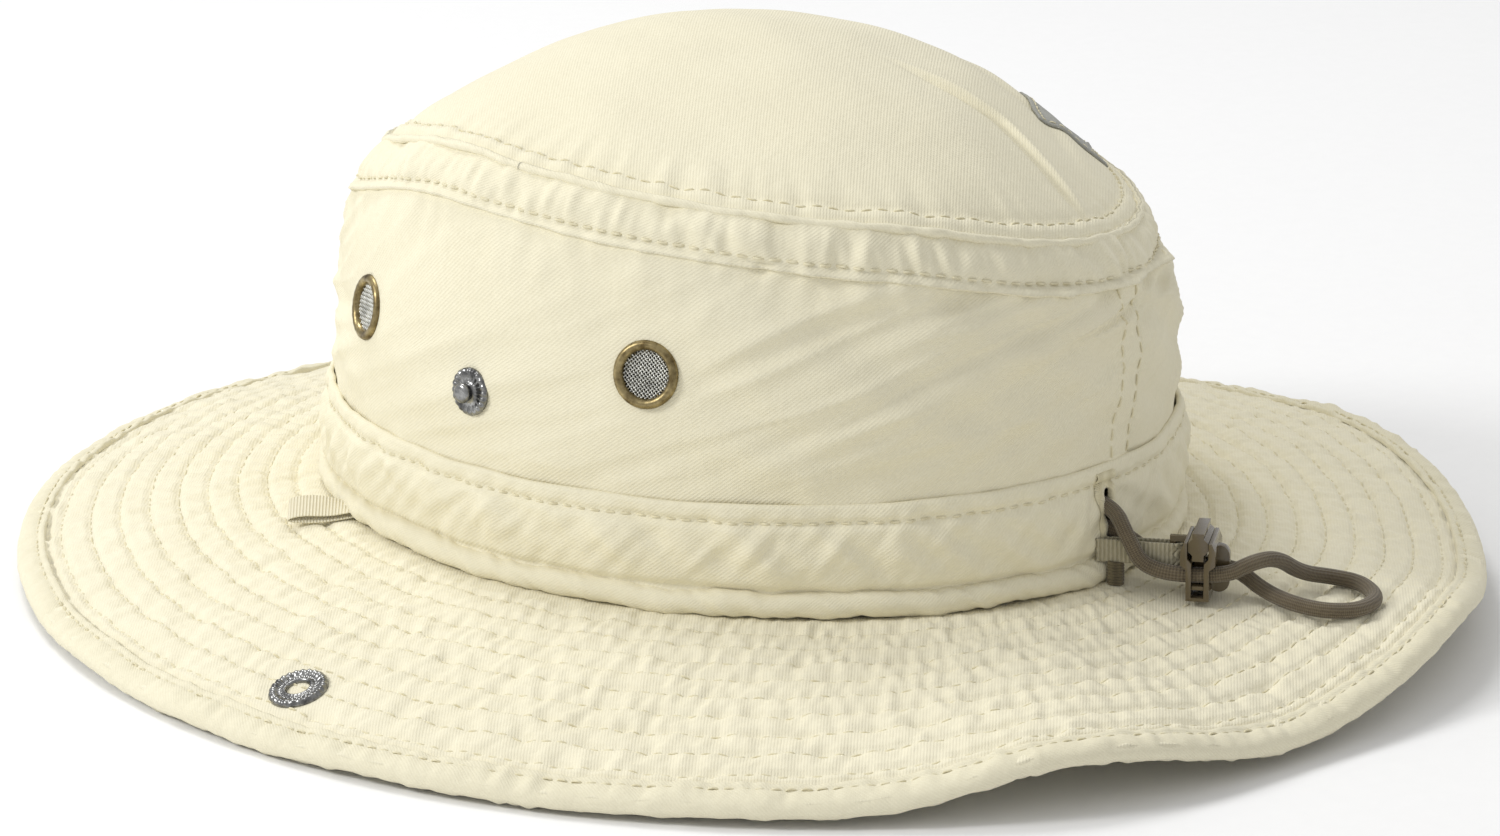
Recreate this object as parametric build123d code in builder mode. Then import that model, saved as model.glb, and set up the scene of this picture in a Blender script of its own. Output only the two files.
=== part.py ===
"""Boonie hat with a quilted brim, side snaps, mesh eyelets and a corded drawstring (millimetres).

The origin is the centre of the head opening, +Y points to the back of the hat, +X to the
wearer's left and +Z up. The brim folds up along one line on each side and snaps to the crown.
"""
from build123d import *
from math import atan2, cos, degrees, exp, hypot, pi, radians, sin, sqrt, tan
import os

os.makedirs("parts", exist_ok=True)

# ---- Driving dimensions -------------------------------------------------------------------
opening_half_width = 84.0       # outside of the base seam, along X
opening_half_length = 102.0     # outside of the base seam, along Y
crown_height = 106.0            # from the base seam to the top of the tip
brim_width = 66.5               # base seam to the rim, measured along the cloth
cloth = 0.8                     # thickness of one crown cloth
seam_gap = 0.3                  # air between pieces that move or are only sewn together
fit_gap = 0.15                  # air between cloths that lie on each other

# Base piping and the drawcord casing above it
piping_height = 5.4
casing_top = 24.0
casing_bottom_inset = 1.2       # the casing's foot lies this far inside the base seam
casing_lip = 0.8                # the casing's folded top stands this far proud of the crown side
drawcord_diameter = 3.3
keyhole_width = 4.4
keyhole_bottom = 6.6
keyhole_top = 20.6

# Crown side: half widths at its foot and at the stitch line, and its outward belly between them
side_foot = (83.6, 96.8)
side_head = (76.0, 93.0)
side_belly = (3.5, 0.5)
side_foot_shift = 1.5           # how far the section's centre lies behind the origin
side_head_shift = 3.0
stitch_line_height = 71.5
tip_seam_height = 80.0
tip_seam = (71.5, 87.5)
tip_seam_shift = 4.5
crown_slope_x = 0.085           # the slumped crown is higher on the wearer's left
crown_slope_y = -0.06           # and lower at the back
dome_centre_depth = 100.0       # the tip is a cap of a large ellipsoid

# Snaps and eyelets on the crown sides
snap_height = 40.5
snap_y = 1.0
snap_reach = 51.0               # from the base seam out along the brim to the socket
snap_flange_radius = 5.0
snap_flange = 1.0
snap_bulb_radius = 2.1
snap_bulb = 2.4
snap_bore = 2.5
socket_radius = 6.3
socket_height = 1.9
post_radius = 1.4
eyelet_height = 50.0
eyelet_spacing = 82.0
eyelet_radius = 7.0
eyelet_opening = 4.9
eyelet_lip = 1.5

# Brim: three cloths, an edge binding and the rise and fall of the rim around the hat
brim_cloth = 0.6
interlining = 0.8
binding_width = 5.5
binding_cloth = 0.6
brim_tuck = 4.0                 # how far the brim runs in under the piping
rim_level = -16.5
rim_lifts = ((65, 9.0, 11.5), (103, 9.0, 15.0), (150, 11.0, 30.0), (280, 4.0, 41.0))
brim_width_swing = 2.0          # the brim is this much narrower towards its back-right
narrow_direction = 117.0
sections_per_quarter = 12
hinge_gap = 0.9

# Sweatband
sweatband_top = 34.0
sweatband_cloth = 1.0

# Cord lock, its tether and the free end of the drawcord
lock_centre = (-7.0, 119.5, 4.4)
lock_heading = 120.0
strand_spacing = 7.0
cord_clearance = 0.3
lock_below = 5.0
lock_above = 7.4
lock_half_thickness = 5.7
lock_waist = 2.4
lock_shoulder = 3.6
lock_floor = 0.7
plunger_travel = 1.5
lock_travel = 3.0
tape_width = 5.0
tape_thickness = 1.0

# ---- Shared shape functions ---------------------------------------------------------------


def save(name, builder):
    """Label a finished piece and write it to its own STEP file."""
    builder.part.label = name
    export_step(builder.part, f"parts/{name}.step")


def blend(low, high, share):
    return low + (high - low) * share


def side_share(z):
    return (z - casing_top) / (stitch_line_height - casing_top)


def side_size(z):
    """Half width, half length and centre shift of the crown side at height z."""
    share = side_share(z)
    belly = 4 * share * (1 - share)
    half_width = blend(side_foot[0], side_head[0], share) + side_belly[0] * belly
    half_length = blend(side_foot[1], side_head[1], share) + side_belly[1] * belly
    return half_width, half_length, blend(side_foot_shift, side_head_shift, share)


def side_slope(z):
    """How fast the half width of the crown side grows with height."""
    return (side_size(z + 0.5)[0] - side_size(z - 0.5)[0])


def side_plane(side, y, z):
    """Plane on the crown side, its Z pointing out of the hat; side is +1 left or -1 right."""
    half_width, half_length, shift = side_size(z)
    across = (y - shift) / half_length
    x = half_width * sqrt(1 - across**2)
    outward = (x / half_width**2, across / half_length)
    length = hypot(*outward)
    origin = (side * x, y, z)
    normal = (side * outward[0] / length, outward[1] / length, -side_slope(z))
    return Plane(origin=origin, x_dir=(0, 1, 0), z_dir=normal)


def slumped_plane(height, shift, share=1.0):
    normal = (-crown_slope_x * share, -crown_slope_y * share, 1)
    return Plane(origin=(0, shift, height), x_dir=(1, 0, 0), z_dir=normal)


def ring_between(sections, inset):
    """Loft of elliptical sections, each (plane, half width, half length), drawn in by inset."""
    with BuildPart() as solid:
        for plane, half_width, half_length in sections:
            with BuildSketch(plane):
                Ellipse(half_width - inset, half_length - inset)
        loft()
    return solid.part


def rim_height(angle):
    """Height of the rim above the base seam at an angle in degrees from +X towards +Y."""
    height = rim_level
    for centre, lift, spread in rim_lifts:
        away = (angle - centre + 180) % 360 - 180
        height += lift * exp(-(away / spread) ** 2)
    return height


def brim_reach(angle):
    width = brim_width - brim_width_swing * cos(radians(angle - narrow_direction))
    return sqrt(width**2 - rim_height(angle) ** 2)


brim_half_thickness = interlining / 2 + fit_gap + brim_cloth
brim_seat = brim_half_thickness + fit_gap


def brim_level(angle, distance):
    """Height of the brim's middle surface at a distance outside the base seam."""
    share = max(distance / brim_reach(angle), 0.0)
    fall = 0.4 * share + 0.6 * share**2
    return -brim_seat + (rim_height(angle) + brim_seat) * fall


def brim_plane(angle):
    """Upright plane through the base seam, X outward from it and Y up."""
    x = opening_half_width * cos(radians(angle))
    y = opening_half_length * sin(radians(angle))
    outward = Vector(x / opening_half_width**2, y / opening_half_length**2, 0).normalized()
    return Plane(origin=(x, y, 0), x_dir=outward, z_dir=outward.cross(Vector(0, 0, 1)))


def strip_profile(angle, bottom, top):
    """Section of one brim cloth between two offsets from the middle surface."""
    reach = brim_reach(angle)
    stations = [-brim_tuck, -brim_tuck / 2, 0.0] + [reach * share for share in (0.25, 0.5, 0.75, 1.0)]
    upper = [(station, brim_level(angle, station) + top) for station in stations]
    lower = [(station, brim_level(angle, station) + bottom) for station in reversed(stations)]
    with BuildLine() as outline:
        Spline(*upper)
        Line(upper[-1], lower[0])
        Spline(*lower)
        Line(lower[-1], upper[0])
    make_face(outline.edges())


def binding_profile(angle, bottom, top):
    """Section of the tape folded around the rim, open towards the crown."""
    reach = brim_reach(angle)
    inner = reach - binding_width
    edge = reach + fit_gap
    outer = edge + binding_cloth
    corners = [
        (inner, brim_level(angle, inner) + top + binding_cloth),
        (outer, brim_level(angle, reach) + top + binding_cloth),
        (outer, brim_level(angle, reach) + bottom - binding_cloth),
        (inner, brim_level(angle, inner) + bottom - binding_cloth),
        (inner, brim_level(angle, inner) + bottom),
        (edge, brim_level(angle, reach) + bottom),
        (edge, brim_level(angle, reach) + top),
        (inner, brim_level(angle, inner) + top),
    ]
    with BuildLine() as outline:
        Polyline(*corners, close=True)
    make_face(outline.edges())


def brim_ring(profile, bottom, top):
    """Four quarter lofts of a radial profile, joined into one ring around the hat."""
    step = 90.0 / sections_per_quarter
    with BuildPart() as ring:
        for quarter in range(4):
            for index in range(sections_per_quarter + 1):
                angle = quarter * 90 + index * step
                with BuildSketch(brim_plane(angle)):
                    profile(angle, bottom, top)
            loft()
    return ring.part


# ---- Snap geometry: the folded brim brings each socket onto its stud ------------------------


class Fold:
    """Where one side of the brim folds, and where its snap sits."""

    def __init__(self, name, side):
        self.name = name
        self.side = side
        seam = 0.0 if side > 0 else 180.0
        self.stud = side_plane(side, snap_y, snap_height)
        base_x = opening_half_width
        slope = (brim_level(seam, snap_reach + 0.5) - brim_level(seam, snap_reach - 0.5))
        seat_height = brim_level(seam, snap_reach) + brim_half_thickness + fit_gap
        tilt = atan2(-slope, 1.0)
        lift = socket_height + seam_gap + snap_flange + fit_gap
        stud_tilt = atan2(self.stud.z_dir.Z, abs(self.stud.z_dir.X))
        # Outward distance and height of the socket's seat at rest and when it is snapped shut
        rest = (base_x + snap_reach, seat_height)
        shut = (
            abs(self.stud.origin.X) + lift * cos(stud_tilt),
            self.stud.origin.Z + lift * sin(stud_tilt),
        )
        self.angle = radians(90.0) + tilt + stud_tilt
        half_chord = tan(self.angle / 2)
        step = (shut[0] - rest[0], shut[1] - rest[1])
        self.hinge_x = (rest[0] + shut[0] - step[1] / half_chord) / 2
        self.hinge_z = (rest[1] + shut[1] + step[0] / half_chord) / 2
        self.socket = Plane(
            origin=(side * rest[0], snap_y, rest[1]),
            x_dir=(0, 1, 0),
            z_dir=(side * sin(tilt), 0, cos(tilt)),
        )

    def keep_outside(self):
        return Plane(origin=(self.side * (self.hinge_x + hinge_gap / 2), 0, 0), z_dir=(self.side, 0, 0))

    def keep_inside(self):
        return Plane(origin=(self.side * (self.hinge_x - hinge_gap / 2), 0, 0), z_dir=(-self.side, 0, 0))


left_fold = Fold("left", 1)
right_fold = Fold("right", -1)
for fold in (left_fold, right_fold):
    print(f"{fold.name} fold: x {fold.side * fold.hinge_x:.3f} z {fold.hinge_z:.3f}"
          f" angle {degrees(fold.angle):.2f} seat {fold.socket.origin}")

# ---- Crown --------------------------------------------------------------------------------

stitch_plane = slumped_plane(stitch_line_height, side_head_shift)
tip_plane = slumped_plane(tip_seam_height, tip_seam_shift)


def flat_section(z):
    half_width, half_length, shift = side_size(z)
    return Plane(origin=(0, shift, z), x_dir=(1, 0, 0), z_dir=(0, 0, 1)), half_width, half_length


side_sections = [
    flat_section(casing_top),
    flat_section(snap_height),
    flat_section(eyelet_height),
    (stitch_plane, *side_head),
]
eyelet_planes = {
    f"{side_name}_{end_name}": side_plane(side, snap_y + end * eyelet_spacing / 2, eyelet_height)
    for side_name, side in (("left", 1), ("right", -1))
    for end_name, end in (("front", -1), ("rear", 1))
}
eyelet_hole = eyelet_opening + 0.9
stud_hole = post_radius + seam_gap

with BuildPart() as crown_side:
    add(ring_between(side_sections, 0))
    add(ring_between(side_sections, cloth), mode=Mode.SUBTRACT)
    for plane in eyelet_planes.values():
        with BuildSketch(plane):
            Circle(eyelet_hole)
        extrude(amount=6, both=True, mode=Mode.SUBTRACT)
    for fold in (left_fold, right_fold):
        with BuildSketch(fold.stud):
            Circle(stud_hole)
        extrude(amount=6, both=True, mode=Mode.SUBTRACT)
save("crown_side", crown_side)

upper_sections = [(stitch_plane, *side_head), (tip_plane, *tip_seam)]
with BuildPart() as crown_upper_band:
    add(ring_between(upper_sections, 0))
    add(ring_between(upper_sections, cloth), mode=Mode.SUBTRACT)
save("crown_upper_band", crown_upper_band)

dome_rise = crown_height - tip_seam_height
dome_share = sqrt(1 - (dome_centre_depth / (dome_centre_depth + dome_rise)) ** 2)
dome_base = tip_plane.offset(-dome_centre_depth)


def dome_cap(inset):
    """The cap of the dome's ellipsoid above the tip seam, drawn in by inset."""
    half_width = tip_seam[0] / dome_share - inset
    half_length = tip_seam[1] / dome_share - inset
    half_height = dome_centre_depth + dome_rise - inset
    with BuildPart() as cap:
        Sphere(1)
        scale(by=(half_width, half_length, half_height))
    with BuildPart() as placed:
        add(cap.part.moved(dome_base.location))
        split(bisect_by=tip_plane, keep=Keep.TOP)
    return placed.part


with BuildPart() as crown_tip:
    add(dome_cap(0))
    add(dome_cap(cloth), mode=Mode.SUBTRACT)
save("crown_tip", crown_tip)

# ---- Drawcord casing, piping, sweatband and the drawcord inside the casing ------------------

casing_foot = (opening_half_width - casing_bottom_inset, opening_half_length - casing_bottom_inset)
casing_head = (side_foot[0] + casing_lip, side_foot[1] + casing_lip)
channel = drawcord_diameter + 2 * seam_gap
casing_depth = channel + 2 * cloth


def casing_section(z):
    share = (z - piping_height) / (casing_top - piping_height)
    half_width = blend(casing_foot[0], casing_head[0], share)
    half_length = blend(casing_foot[1], casing_head[1], share)
    return Plane(origin=(0, side_foot_shift * share, z), z_dir=(0, 0, 1)), half_width, half_length


casing_sections = [casing_section(piping_height), casing_section(casing_top)]
channel_sections = [casing_section(piping_height + cloth), casing_section(casing_top - cloth)]
keyhole_middle = (keyhole_bottom + keyhole_top) / 2
keyhole_plane = Plane(origin=(0, opening_half_length, keyhole_middle), x_dir=(-1, 0, 0), z_dir=(0, 1, 0))

with BuildPart(mode=Mode.PRIVATE) as casing_hollow:
    add(ring_between(channel_sections, cloth))
    add(ring_between(channel_sections, cloth + channel), mode=Mode.SUBTRACT)

with BuildPart() as drawcord_band:
    add(ring_between(casing_sections, 0))
    add(ring_between(casing_sections, casing_depth), mode=Mode.SUBTRACT)
    add(casing_hollow.part, mode=Mode.SUBTRACT)
    with BuildSketch(keyhole_plane):
        SlotOverall(keyhole_top - keyhole_bottom, keyhole_width, rotation=90)
    extrude(amount=cloth + channel / 2 + casing_bottom_inset, both=True, mode=Mode.SUBTRACT)
save("drawcord_band", drawcord_band)

piping_inner = casing_depth
with BuildPart() as base_piping:
    add(ring_between([(Plane.XY, opening_half_width, opening_half_length),
                      (Plane.XY.offset(piping_height), *casing_foot)], 0))
    add(ring_between([(Plane.XY, opening_half_width, opening_half_length),
                      (Plane.XY.offset(piping_height), *casing_foot)], piping_inner), mode=Mode.SUBTRACT)
save("base_piping", base_piping)

sweatband_outer = min(casing_foot[0], casing_head[0]) - casing_depth - fit_gap
sweatband_length = min(casing_foot[1], casing_head[1] - side_foot_shift) - casing_depth - fit_gap
sweatband_bottom = cloth
sweatband_sections = [(Plane.XY.offset(z), sweatband_outer, sweatband_length)
                      for z in (sweatband_bottom, sweatband_top)]
with BuildPart() as sweatband:
    add(ring_between(sweatband_sections, 0))
    add(ring_between(sweatband_sections, sweatband_cloth), mode=Mode.SUBTRACT)
save("sweatband", sweatband)

drawcord_plane, drawcord_width, drawcord_length = casing_section(keyhole_middle)
drawcord_inset = cloth + channel / 2
drawcord_opening = 3.0
with BuildPart() as drawcord:
    with BuildLine(drawcord_plane) as drawcord_route:
        EllipticalCenterArc((0, 0), drawcord_width - drawcord_inset, drawcord_length - drawcord_inset,
                            start_angle=90 + drawcord_opening, arc_size=360 - 2 * drawcord_opening)
    with BuildSketch(Plane(origin=drawcord_route.line @ 0, z_dir=drawcord_route.line % 0)):
        Circle(drawcord_diameter / 2)
    sweep()
save("drawcord", drawcord)

# ---- Brim ----------------------------------------------------------------------------------

half_core = interlining / 2
brim_layers = {
    "brim_interlining": (-half_core, half_core),
    "brim_top_cloth": (half_core + fit_gap, brim_half_thickness),
    "brim_under_cloth": (-brim_half_thickness, -half_core - fit_gap),
}
binding_inner = brim_half_thickness + fit_gap
barrel_depth = 2 * (brim_half_thickness + fit_gap)
pieces = {name: brim_ring(strip_profile, *span) for name, span in brim_layers.items()}


def brim_pieces(name, whole):
    """Cut a ring into the part fixed to the crown and the two flaps, with the snap holes."""
    with BuildPart() as fixed:
        add(whole)
        for fold in (left_fold, right_fold):
            split(bisect_by=fold.keep_inside(), keep=Keep.TOP)
    save(name, fixed)
    for fold in (left_fold, right_fold):
        with BuildPart() as flap:
            add(whole)
            split(bisect_by=fold.keep_outside(), keep=Keep.TOP)
            with BuildSketch(fold.socket):
                Circle(snap_bore + cloth + fit_gap)
            extrude(amount=8, both=True, mode=Mode.SUBTRACT)
            # the cloth is pressed flat under the socket and over its cap
            for seat, outward in ((fold.socket, 1), (fold.socket.offset(-barrel_depth), -1)):
                with BuildSketch(seat):
                    Circle(socket_radius + fit_gap)
                extrude(amount=outward * 4, mode=Mode.SUBTRACT)
        save(f"{fold.name}_flap_{name.removeprefix('brim_')}", flap)


for name, whole in pieces.items():
    brim_pieces(name, whole)
brim_pieces("brim_binding", brim_ring(binding_profile, -binding_inner, binding_inner))

# ---- Snaps ---------------------------------------------------------------------------------

cap_thickness = 1.0
for fold in (left_fold, right_fold):
    stud_foot = fold.stud.offset(fit_gap)
    with BuildPart() as stud:
        with BuildSketch(stud_foot):
            Circle(snap_flange_radius)
        extrude(amount=snap_flange)
        fillet(stud.edges().group_by(SortBy.LENGTH)[-1], 0.3)
        with BuildSketch(stud_foot.offset(snap_flange)):
            Circle(snap_bulb_radius)
        extrude(amount=snap_bulb, taper=4)
        with BuildSketch(stud_foot):
            Circle(post_radius + fit_gap)
        extrude(amount=snap_flange + snap_bulb / 2, mode=Mode.SUBTRACT)
    save(f"{fold.name}_snap_stud", stud)

    post_face = fold.stud.offset(-cloth - 2 * fit_gap)
    with BuildPart() as post:
        with BuildSketch(post_face):
            Circle(snap_flange_radius)
        extrude(amount=-snap_flange)
        with BuildSketch(post_face):
            Circle(post_radius)
        extrude(amount=cloth + 3 * fit_gap + snap_flange + snap_bulb / 2 - fit_gap)
    save(f"{fold.name}_snap_post", post)

    with BuildPart() as socket:
        with BuildSketch(fold.socket):
            Circle(socket_radius)
            Circle(snap_bore, mode=Mode.SUBTRACT)
        extrude(amount=socket_height, taper=8)
        with BuildSketch(fold.socket.offset(-barrel_depth)):
            Circle(snap_bore + cloth)
            Circle(snap_bore, mode=Mode.SUBTRACT)
        extrude(amount=barrel_depth)
    save(f"{fold.name}_snap_socket", socket)

    with BuildPart() as cap:
        with BuildSketch(fold.socket.offset(-barrel_depth - fit_gap)):
            Circle(socket_radius)
        extrude(amount=-cap_thickness)
        fillet(cap.edges().group_by(SortBy.LENGTH)[-1], 0.3)
    save(f"{fold.name}_snap_cap", cap)

# ---- Mesh eyelets --------------------------------------------------------------------------

eyelet_rim = 1.3
mesh_thickness = 0.3
for name, plane in eyelet_planes.items():
    front = plane.offset(fit_gap)
    rear = plane.offset(-cloth - 3 * fit_gap)
    barrel_length = cloth + 4 * fit_gap
    with BuildPart() as ring:
        with BuildSketch(front):
            Circle(eyelet_radius)
            Circle(eyelet_opening, mode=Mode.SUBTRACT)
        extrude(amount=eyelet_rim)
        fillet(ring.edges().group_by(SortBy.LENGTH)[-1], 0.5)
        with BuildSketch(front):
            Circle(eyelet_opening + 0.6)
            Circle(eyelet_opening, mode=Mode.SUBTRACT)
        extrude(amount=-barrel_length)
    save(f"{name}_eyelet_ring", ring)

    with BuildPart() as washer:
        with BuildSketch(rear):
            Circle(eyelet_radius)
            Circle(eyelet_opening + 0.6 + fit_gap, mode=Mode.SUBTRACT)
        extrude(amount=-0.6)
    save(f"{name}_eyelet_washer", washer)

    with BuildPart() as mesh:
        with BuildSketch(plane):
            Circle(eyelet_opening - fit_gap / 3)
        extrude(amount=mesh_thickness)
    save(f"{name}_eyelet_mesh", mesh)

# ---- Cord lock -----------------------------------------------------------------------------

along = Vector(cos(radians(lock_heading)), sin(radians(lock_heading)), 0)
lock_plane = Plane(origin=lock_centre, x_dir=along, z_dir=(0, 0, 1))
lock_face = Plane(origin=lock_centre, x_dir=along, z_dir=along.cross(Vector(0, 0, 1)))
strand_hole = drawcord_diameter / 2 + cord_clearance
slot_half_width = 1.3
slot_head_half_width = 2.2
bridge = 0.8
plunger_gap = 0.1
shoulder_bottom = 2.6
shoulder_top = 5.6
neck = 2.9
slot_floor = -lock_below + lock_floor
slot_step = shoulder_bottom + 0.4
plunger_bottom = slot_floor + fit_gap + plunger_travel
nub_top = lock_above + 2.0

body_outline = [
    (-lock_waist, -lock_below),
    (-lock_waist, shoulder_bottom - 1.0),
    (-lock_shoulder, shoulder_bottom),
    (-lock_shoulder, shoulder_top),
    (-neck, lock_above),
    (neck, lock_above),
    (lock_shoulder, shoulder_top),
    (lock_shoulder, shoulder_bottom),
    (lock_waist, shoulder_bottom - 1.0),
    (lock_waist, -lock_below),
]
slot_outline = [
    (-slot_half_width, slot_floor),
    (-slot_half_width, slot_step),
    (-slot_head_half_width, slot_step + 1.0),
    (-slot_head_half_width, lock_above + 1.0),
    (slot_head_half_width, lock_above + 1.0),
    (slot_head_half_width, slot_step + 1.0),
    (slot_half_width, slot_step),
    (slot_half_width, slot_floor),
]
plunger_slot = slot_half_width - plunger_gap
plunger_head = slot_head_half_width - plunger_gap
plunger_outline = [
    (-plunger_slot, plunger_bottom),
    (-plunger_slot, slot_step + plunger_travel + fit_gap),
    (-plunger_head, slot_step + 1.0 + plunger_travel + fit_gap),
    (-plunger_head, lock_above),
    (-plunger_slot, lock_above + 0.8),
    (-plunger_slot, nub_top),
    (plunger_slot, nub_top),
    (plunger_slot, lock_above + 0.8),
    (plunger_head, lock_above),
    (plunger_head, slot_step + 1.0 + plunger_travel + fit_gap),
    (plunger_slot, slot_step + plunger_travel + fit_gap),
    (plunger_slot, plunger_bottom),
]
eye_bar = 1.2
eye_inner = 1.6
eye_opening_x = -lock_shoulder - eye_inner / 2
eye_outer_x = -lock_shoulder - eye_inner - eye_bar
eye_bottom = -0.6
eye_top = eye_bottom + tape_width + 2 * eye_bar + 0.4
eye_middle = (eye_bottom + eye_top) / 2
grip_length = 12.0
grip_radius = 2.2
grip_half_thickness = 1.1
grip_x = lock_waist + grip_radius - 0.8

with BuildPart() as lock_body:
    with BuildSketch(lock_face):
        with BuildLine():
            Polyline(*body_outline, close=True)
        make_face()
    extrude(amount=lock_half_thickness, both=True)
    # the eye that the tether is folded through
    with BuildSketch(lock_face):
        with Locations(((eye_outer_x - lock_waist) / 2, eye_middle)):
            Rectangle(-lock_waist - eye_outer_x, eye_top - eye_bottom)
        with Locations((eye_opening_x, eye_middle)):
            Rectangle(eye_inner, eye_top - eye_bottom - 2 * eye_bar, mode=Mode.SUBTRACT)
    extrude(amount=eye_bar / 2, both=True)
    # the rounded grip on the loop side, between the two strands
    with BuildSketch(lock_face):
        with Locations((grip_x, -lock_below + grip_length / 2 - 0.2)):
            SlotOverall(grip_length - 2, 2 * grip_radius, rotation=90)
    extrude(amount=grip_half_thickness, both=True)
    with BuildSketch(lock_face):
        with BuildLine():
            Polyline(*slot_outline, close=True)
        make_face()
    extrude(amount=lock_half_thickness + 1, both=True, mode=Mode.SUBTRACT)
    for strand in (-1, 1):
        with BuildSketch(Plane(origin=lock_centre, z_dir=along, x_dir=along.cross(Vector(0, 0, 1)))):
            with Locations((strand * strand_spacing / 2, 0)):
                Circle(strand_hole)
        extrude(amount=12, both=True, mode=Mode.SUBTRACT)
save("lock_body", lock_body)

window_bottom = plunger_bottom + bridge
window_top = strand_hole + plunger_travel
window_inner = strand_spacing / 2 - strand_hole
window_outer = lock_half_thickness + 0.5
with BuildPart() as lock_plunger:
    with BuildSketch(lock_face):
        with BuildLine():
            Polyline(*plunger_outline, close=True)
        make_face()
    extrude(amount=lock_half_thickness - 0.3, both=True)
    for strand in (-1, 1):
        with BuildSketch(Plane(origin=lock_centre, z_dir=along, x_dir=Vector(0, 0, 1).cross(along))):
            with Locations((strand * (window_inner + window_outer) / 2, (window_bottom + window_top) / 2)):
                Rectangle(window_outer - window_inner, window_top - window_bottom)
        extrude(amount=12, both=True, mode=Mode.SUBTRACT)
    # the blind pocket over the spring
    spring_pocket = 1.25
    pocket_top = 3.2
    with BuildSketch(lock_plane.offset(plunger_bottom)):
        Circle(spring_pocket - 0.25)
    extrude(amount=pocket_top - plunger_bottom, mode=Mode.SUBTRACT)
save("lock_plunger", lock_plunger)

with BuildPart() as lock_spring:
    with BuildSketch(lock_plane.offset(plunger_bottom)):
        Circle(spring_pocket - 0.35)
        Circle(spring_pocket - 0.8, mode=Mode.SUBTRACT)
    extrude(amount=pocket_top - plunger_bottom - fit_gap)
save("lock_spring", lock_spring)

# ---- Tether: a flat braid from the base seam that telescopes into its own folded end --------

fold_cloth = 0.6
fold_inner = tape_thickness / 2 + seam_gap
fold_outer = fold_inner + fold_cloth
fold_right = -lock_shoulder - 0.35
bar_face = eye_outer_x
fold_left = bar_face - lock_travel - 3.0
strap_tip = bar_face - lock_travel - 0.6
strap_foot = -21.6
with BuildPart() as tether_fold:
    with BuildSketch(lock_plane.offset(eye_bottom + eye_bar + 0.2)):
        with Locations(((fold_left + fold_right) / 2, 0)):
            Rectangle(fold_right - fold_left, 2 * fold_outer)
        with Locations(((fold_left + fold_right - fold_cloth) / 2, 0)):
            Rectangle(fold_right - fold_left - fold_cloth, 2 * fold_inner, mode=Mode.SUBTRACT)
    extrude(amount=tape_width)
save("tether_fold", tether_fold)

with BuildPart() as tether_strap:
    with BuildSketch(lock_plane.offset(eye_bottom + eye_bar + 0.2)):
        with Locations(((strap_foot + strap_tip) / 2, 0)):
            Rectangle(strap_tip - strap_foot, tape_thickness)
    extrude(amount=tape_width)
    add(drawcord_band.part, mode=Mode.SUBTRACT)
save("tether_strap", tether_strap)

# ---- Small sewn-on pieces: the tether's whipping, a ribbon tab and a blank label ---------------

strap_bottom = lock_centre[2] + eye_bottom + eye_bar + 0.2
whipping_bottom = 0.15
whipping_length = 3.0
whipping_width = 3.4
whipping_place = strap_foot + 4.0
with BuildPart() as tether_whipping:
    with BuildSketch(lock_plane.offset(whipping_bottom - lock_centre[2])):
        with Locations((whipping_place, 0)):
            RectangleRounded(whipping_length, whipping_width, 1.2)
    extrude(amount=strap_bottom - whipping_bottom)
save("tether_whipping", tether_whipping)

ribbon_angle = -27.5
ribbon_heading = -47.4
ribbon_length = 14.0
ribbon_width = 6.0
ribbon_thickness = 1.0
ribbon_foot = brim_plane(ribbon_angle).origin
ribbon_direction = Vector(cos(radians(ribbon_heading)), sin(radians(ribbon_heading)), 0)
ribbon_plane = Plane(origin=ribbon_foot, x_dir=ribbon_direction, z_dir=(0, 0, 1))
with BuildPart() as side_ribbon_tab:
    with BuildSketch(ribbon_plane):
        with Locations((ribbon_length / 2, 0)):
            Rectangle(ribbon_length, ribbon_width)
    extrude(amount=ribbon_thickness)
    with BuildSketch(Plane.XY.offset(-1)):
        Ellipse(opening_half_width + seam_gap, opening_half_length + seam_gap)
    extrude(amount=4, mode=Mode.SUBTRACT)
save("side_ribbon_tab", side_ribbon_tab)

label_centre = (-40.0, 57.0)
label_turn = 48.0
label_length = 26.0
label_width = 16.0
label_thickness = 0.6
label_plane = Plane(origin=(*label_centre, 0), z_dir=(0, 0, 1),
                    x_dir=(cos(radians(label_turn)), sin(radians(label_turn)), 0))
with BuildPart() as label_patch:
    add(dome_cap(-seam_gap - label_thickness))
    add(dome_cap(-seam_gap), mode=Mode.SUBTRACT)
    with BuildSketch(label_plane):
        RectangleRounded(label_length, label_width, 2)
    extrude(amount=2 * crown_height, mode=Mode.INTERSECT)
save("label_patch", label_patch)

# ---- Free end of the drawcord ----------------------------------------------------------------

cord_route = [
    (0.0, 96.4, 16.5),
    (0.4, 102.6, 16.2),
    (3.1, 108.0, 12.0),
    (1.5, 111.7, 4.4),
    (-6.7, 126.0, 4.4),
    (-11.0, 129.0, 6.9),
    (-17.6, 130.8, 6.9),
    (-24.6, 131.8, 1.9),
    (-31.3, 134.8, 0.0),
    (-34.6, 140.5, -1.0),
    (-30.7, 147.4, -2.0),
    (-22.6, 148.0, -2.2),
    (-16.4, 143.5, -1.6),
    (-14.3, 136.6, -0.8),
    (-14.8, 129.6, 0.2),
    (-13.6, 124.4, 3.6),
    (-11.8, 120.9, 4.4),
    (-5.3, 109.5, 4.4),
    (-3.3, 105.5, 8.4),
    (-0.2, 102.4, 11.2),
    (0.0, 96.4, 11.2),
]
corner_share = 0.45


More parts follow.
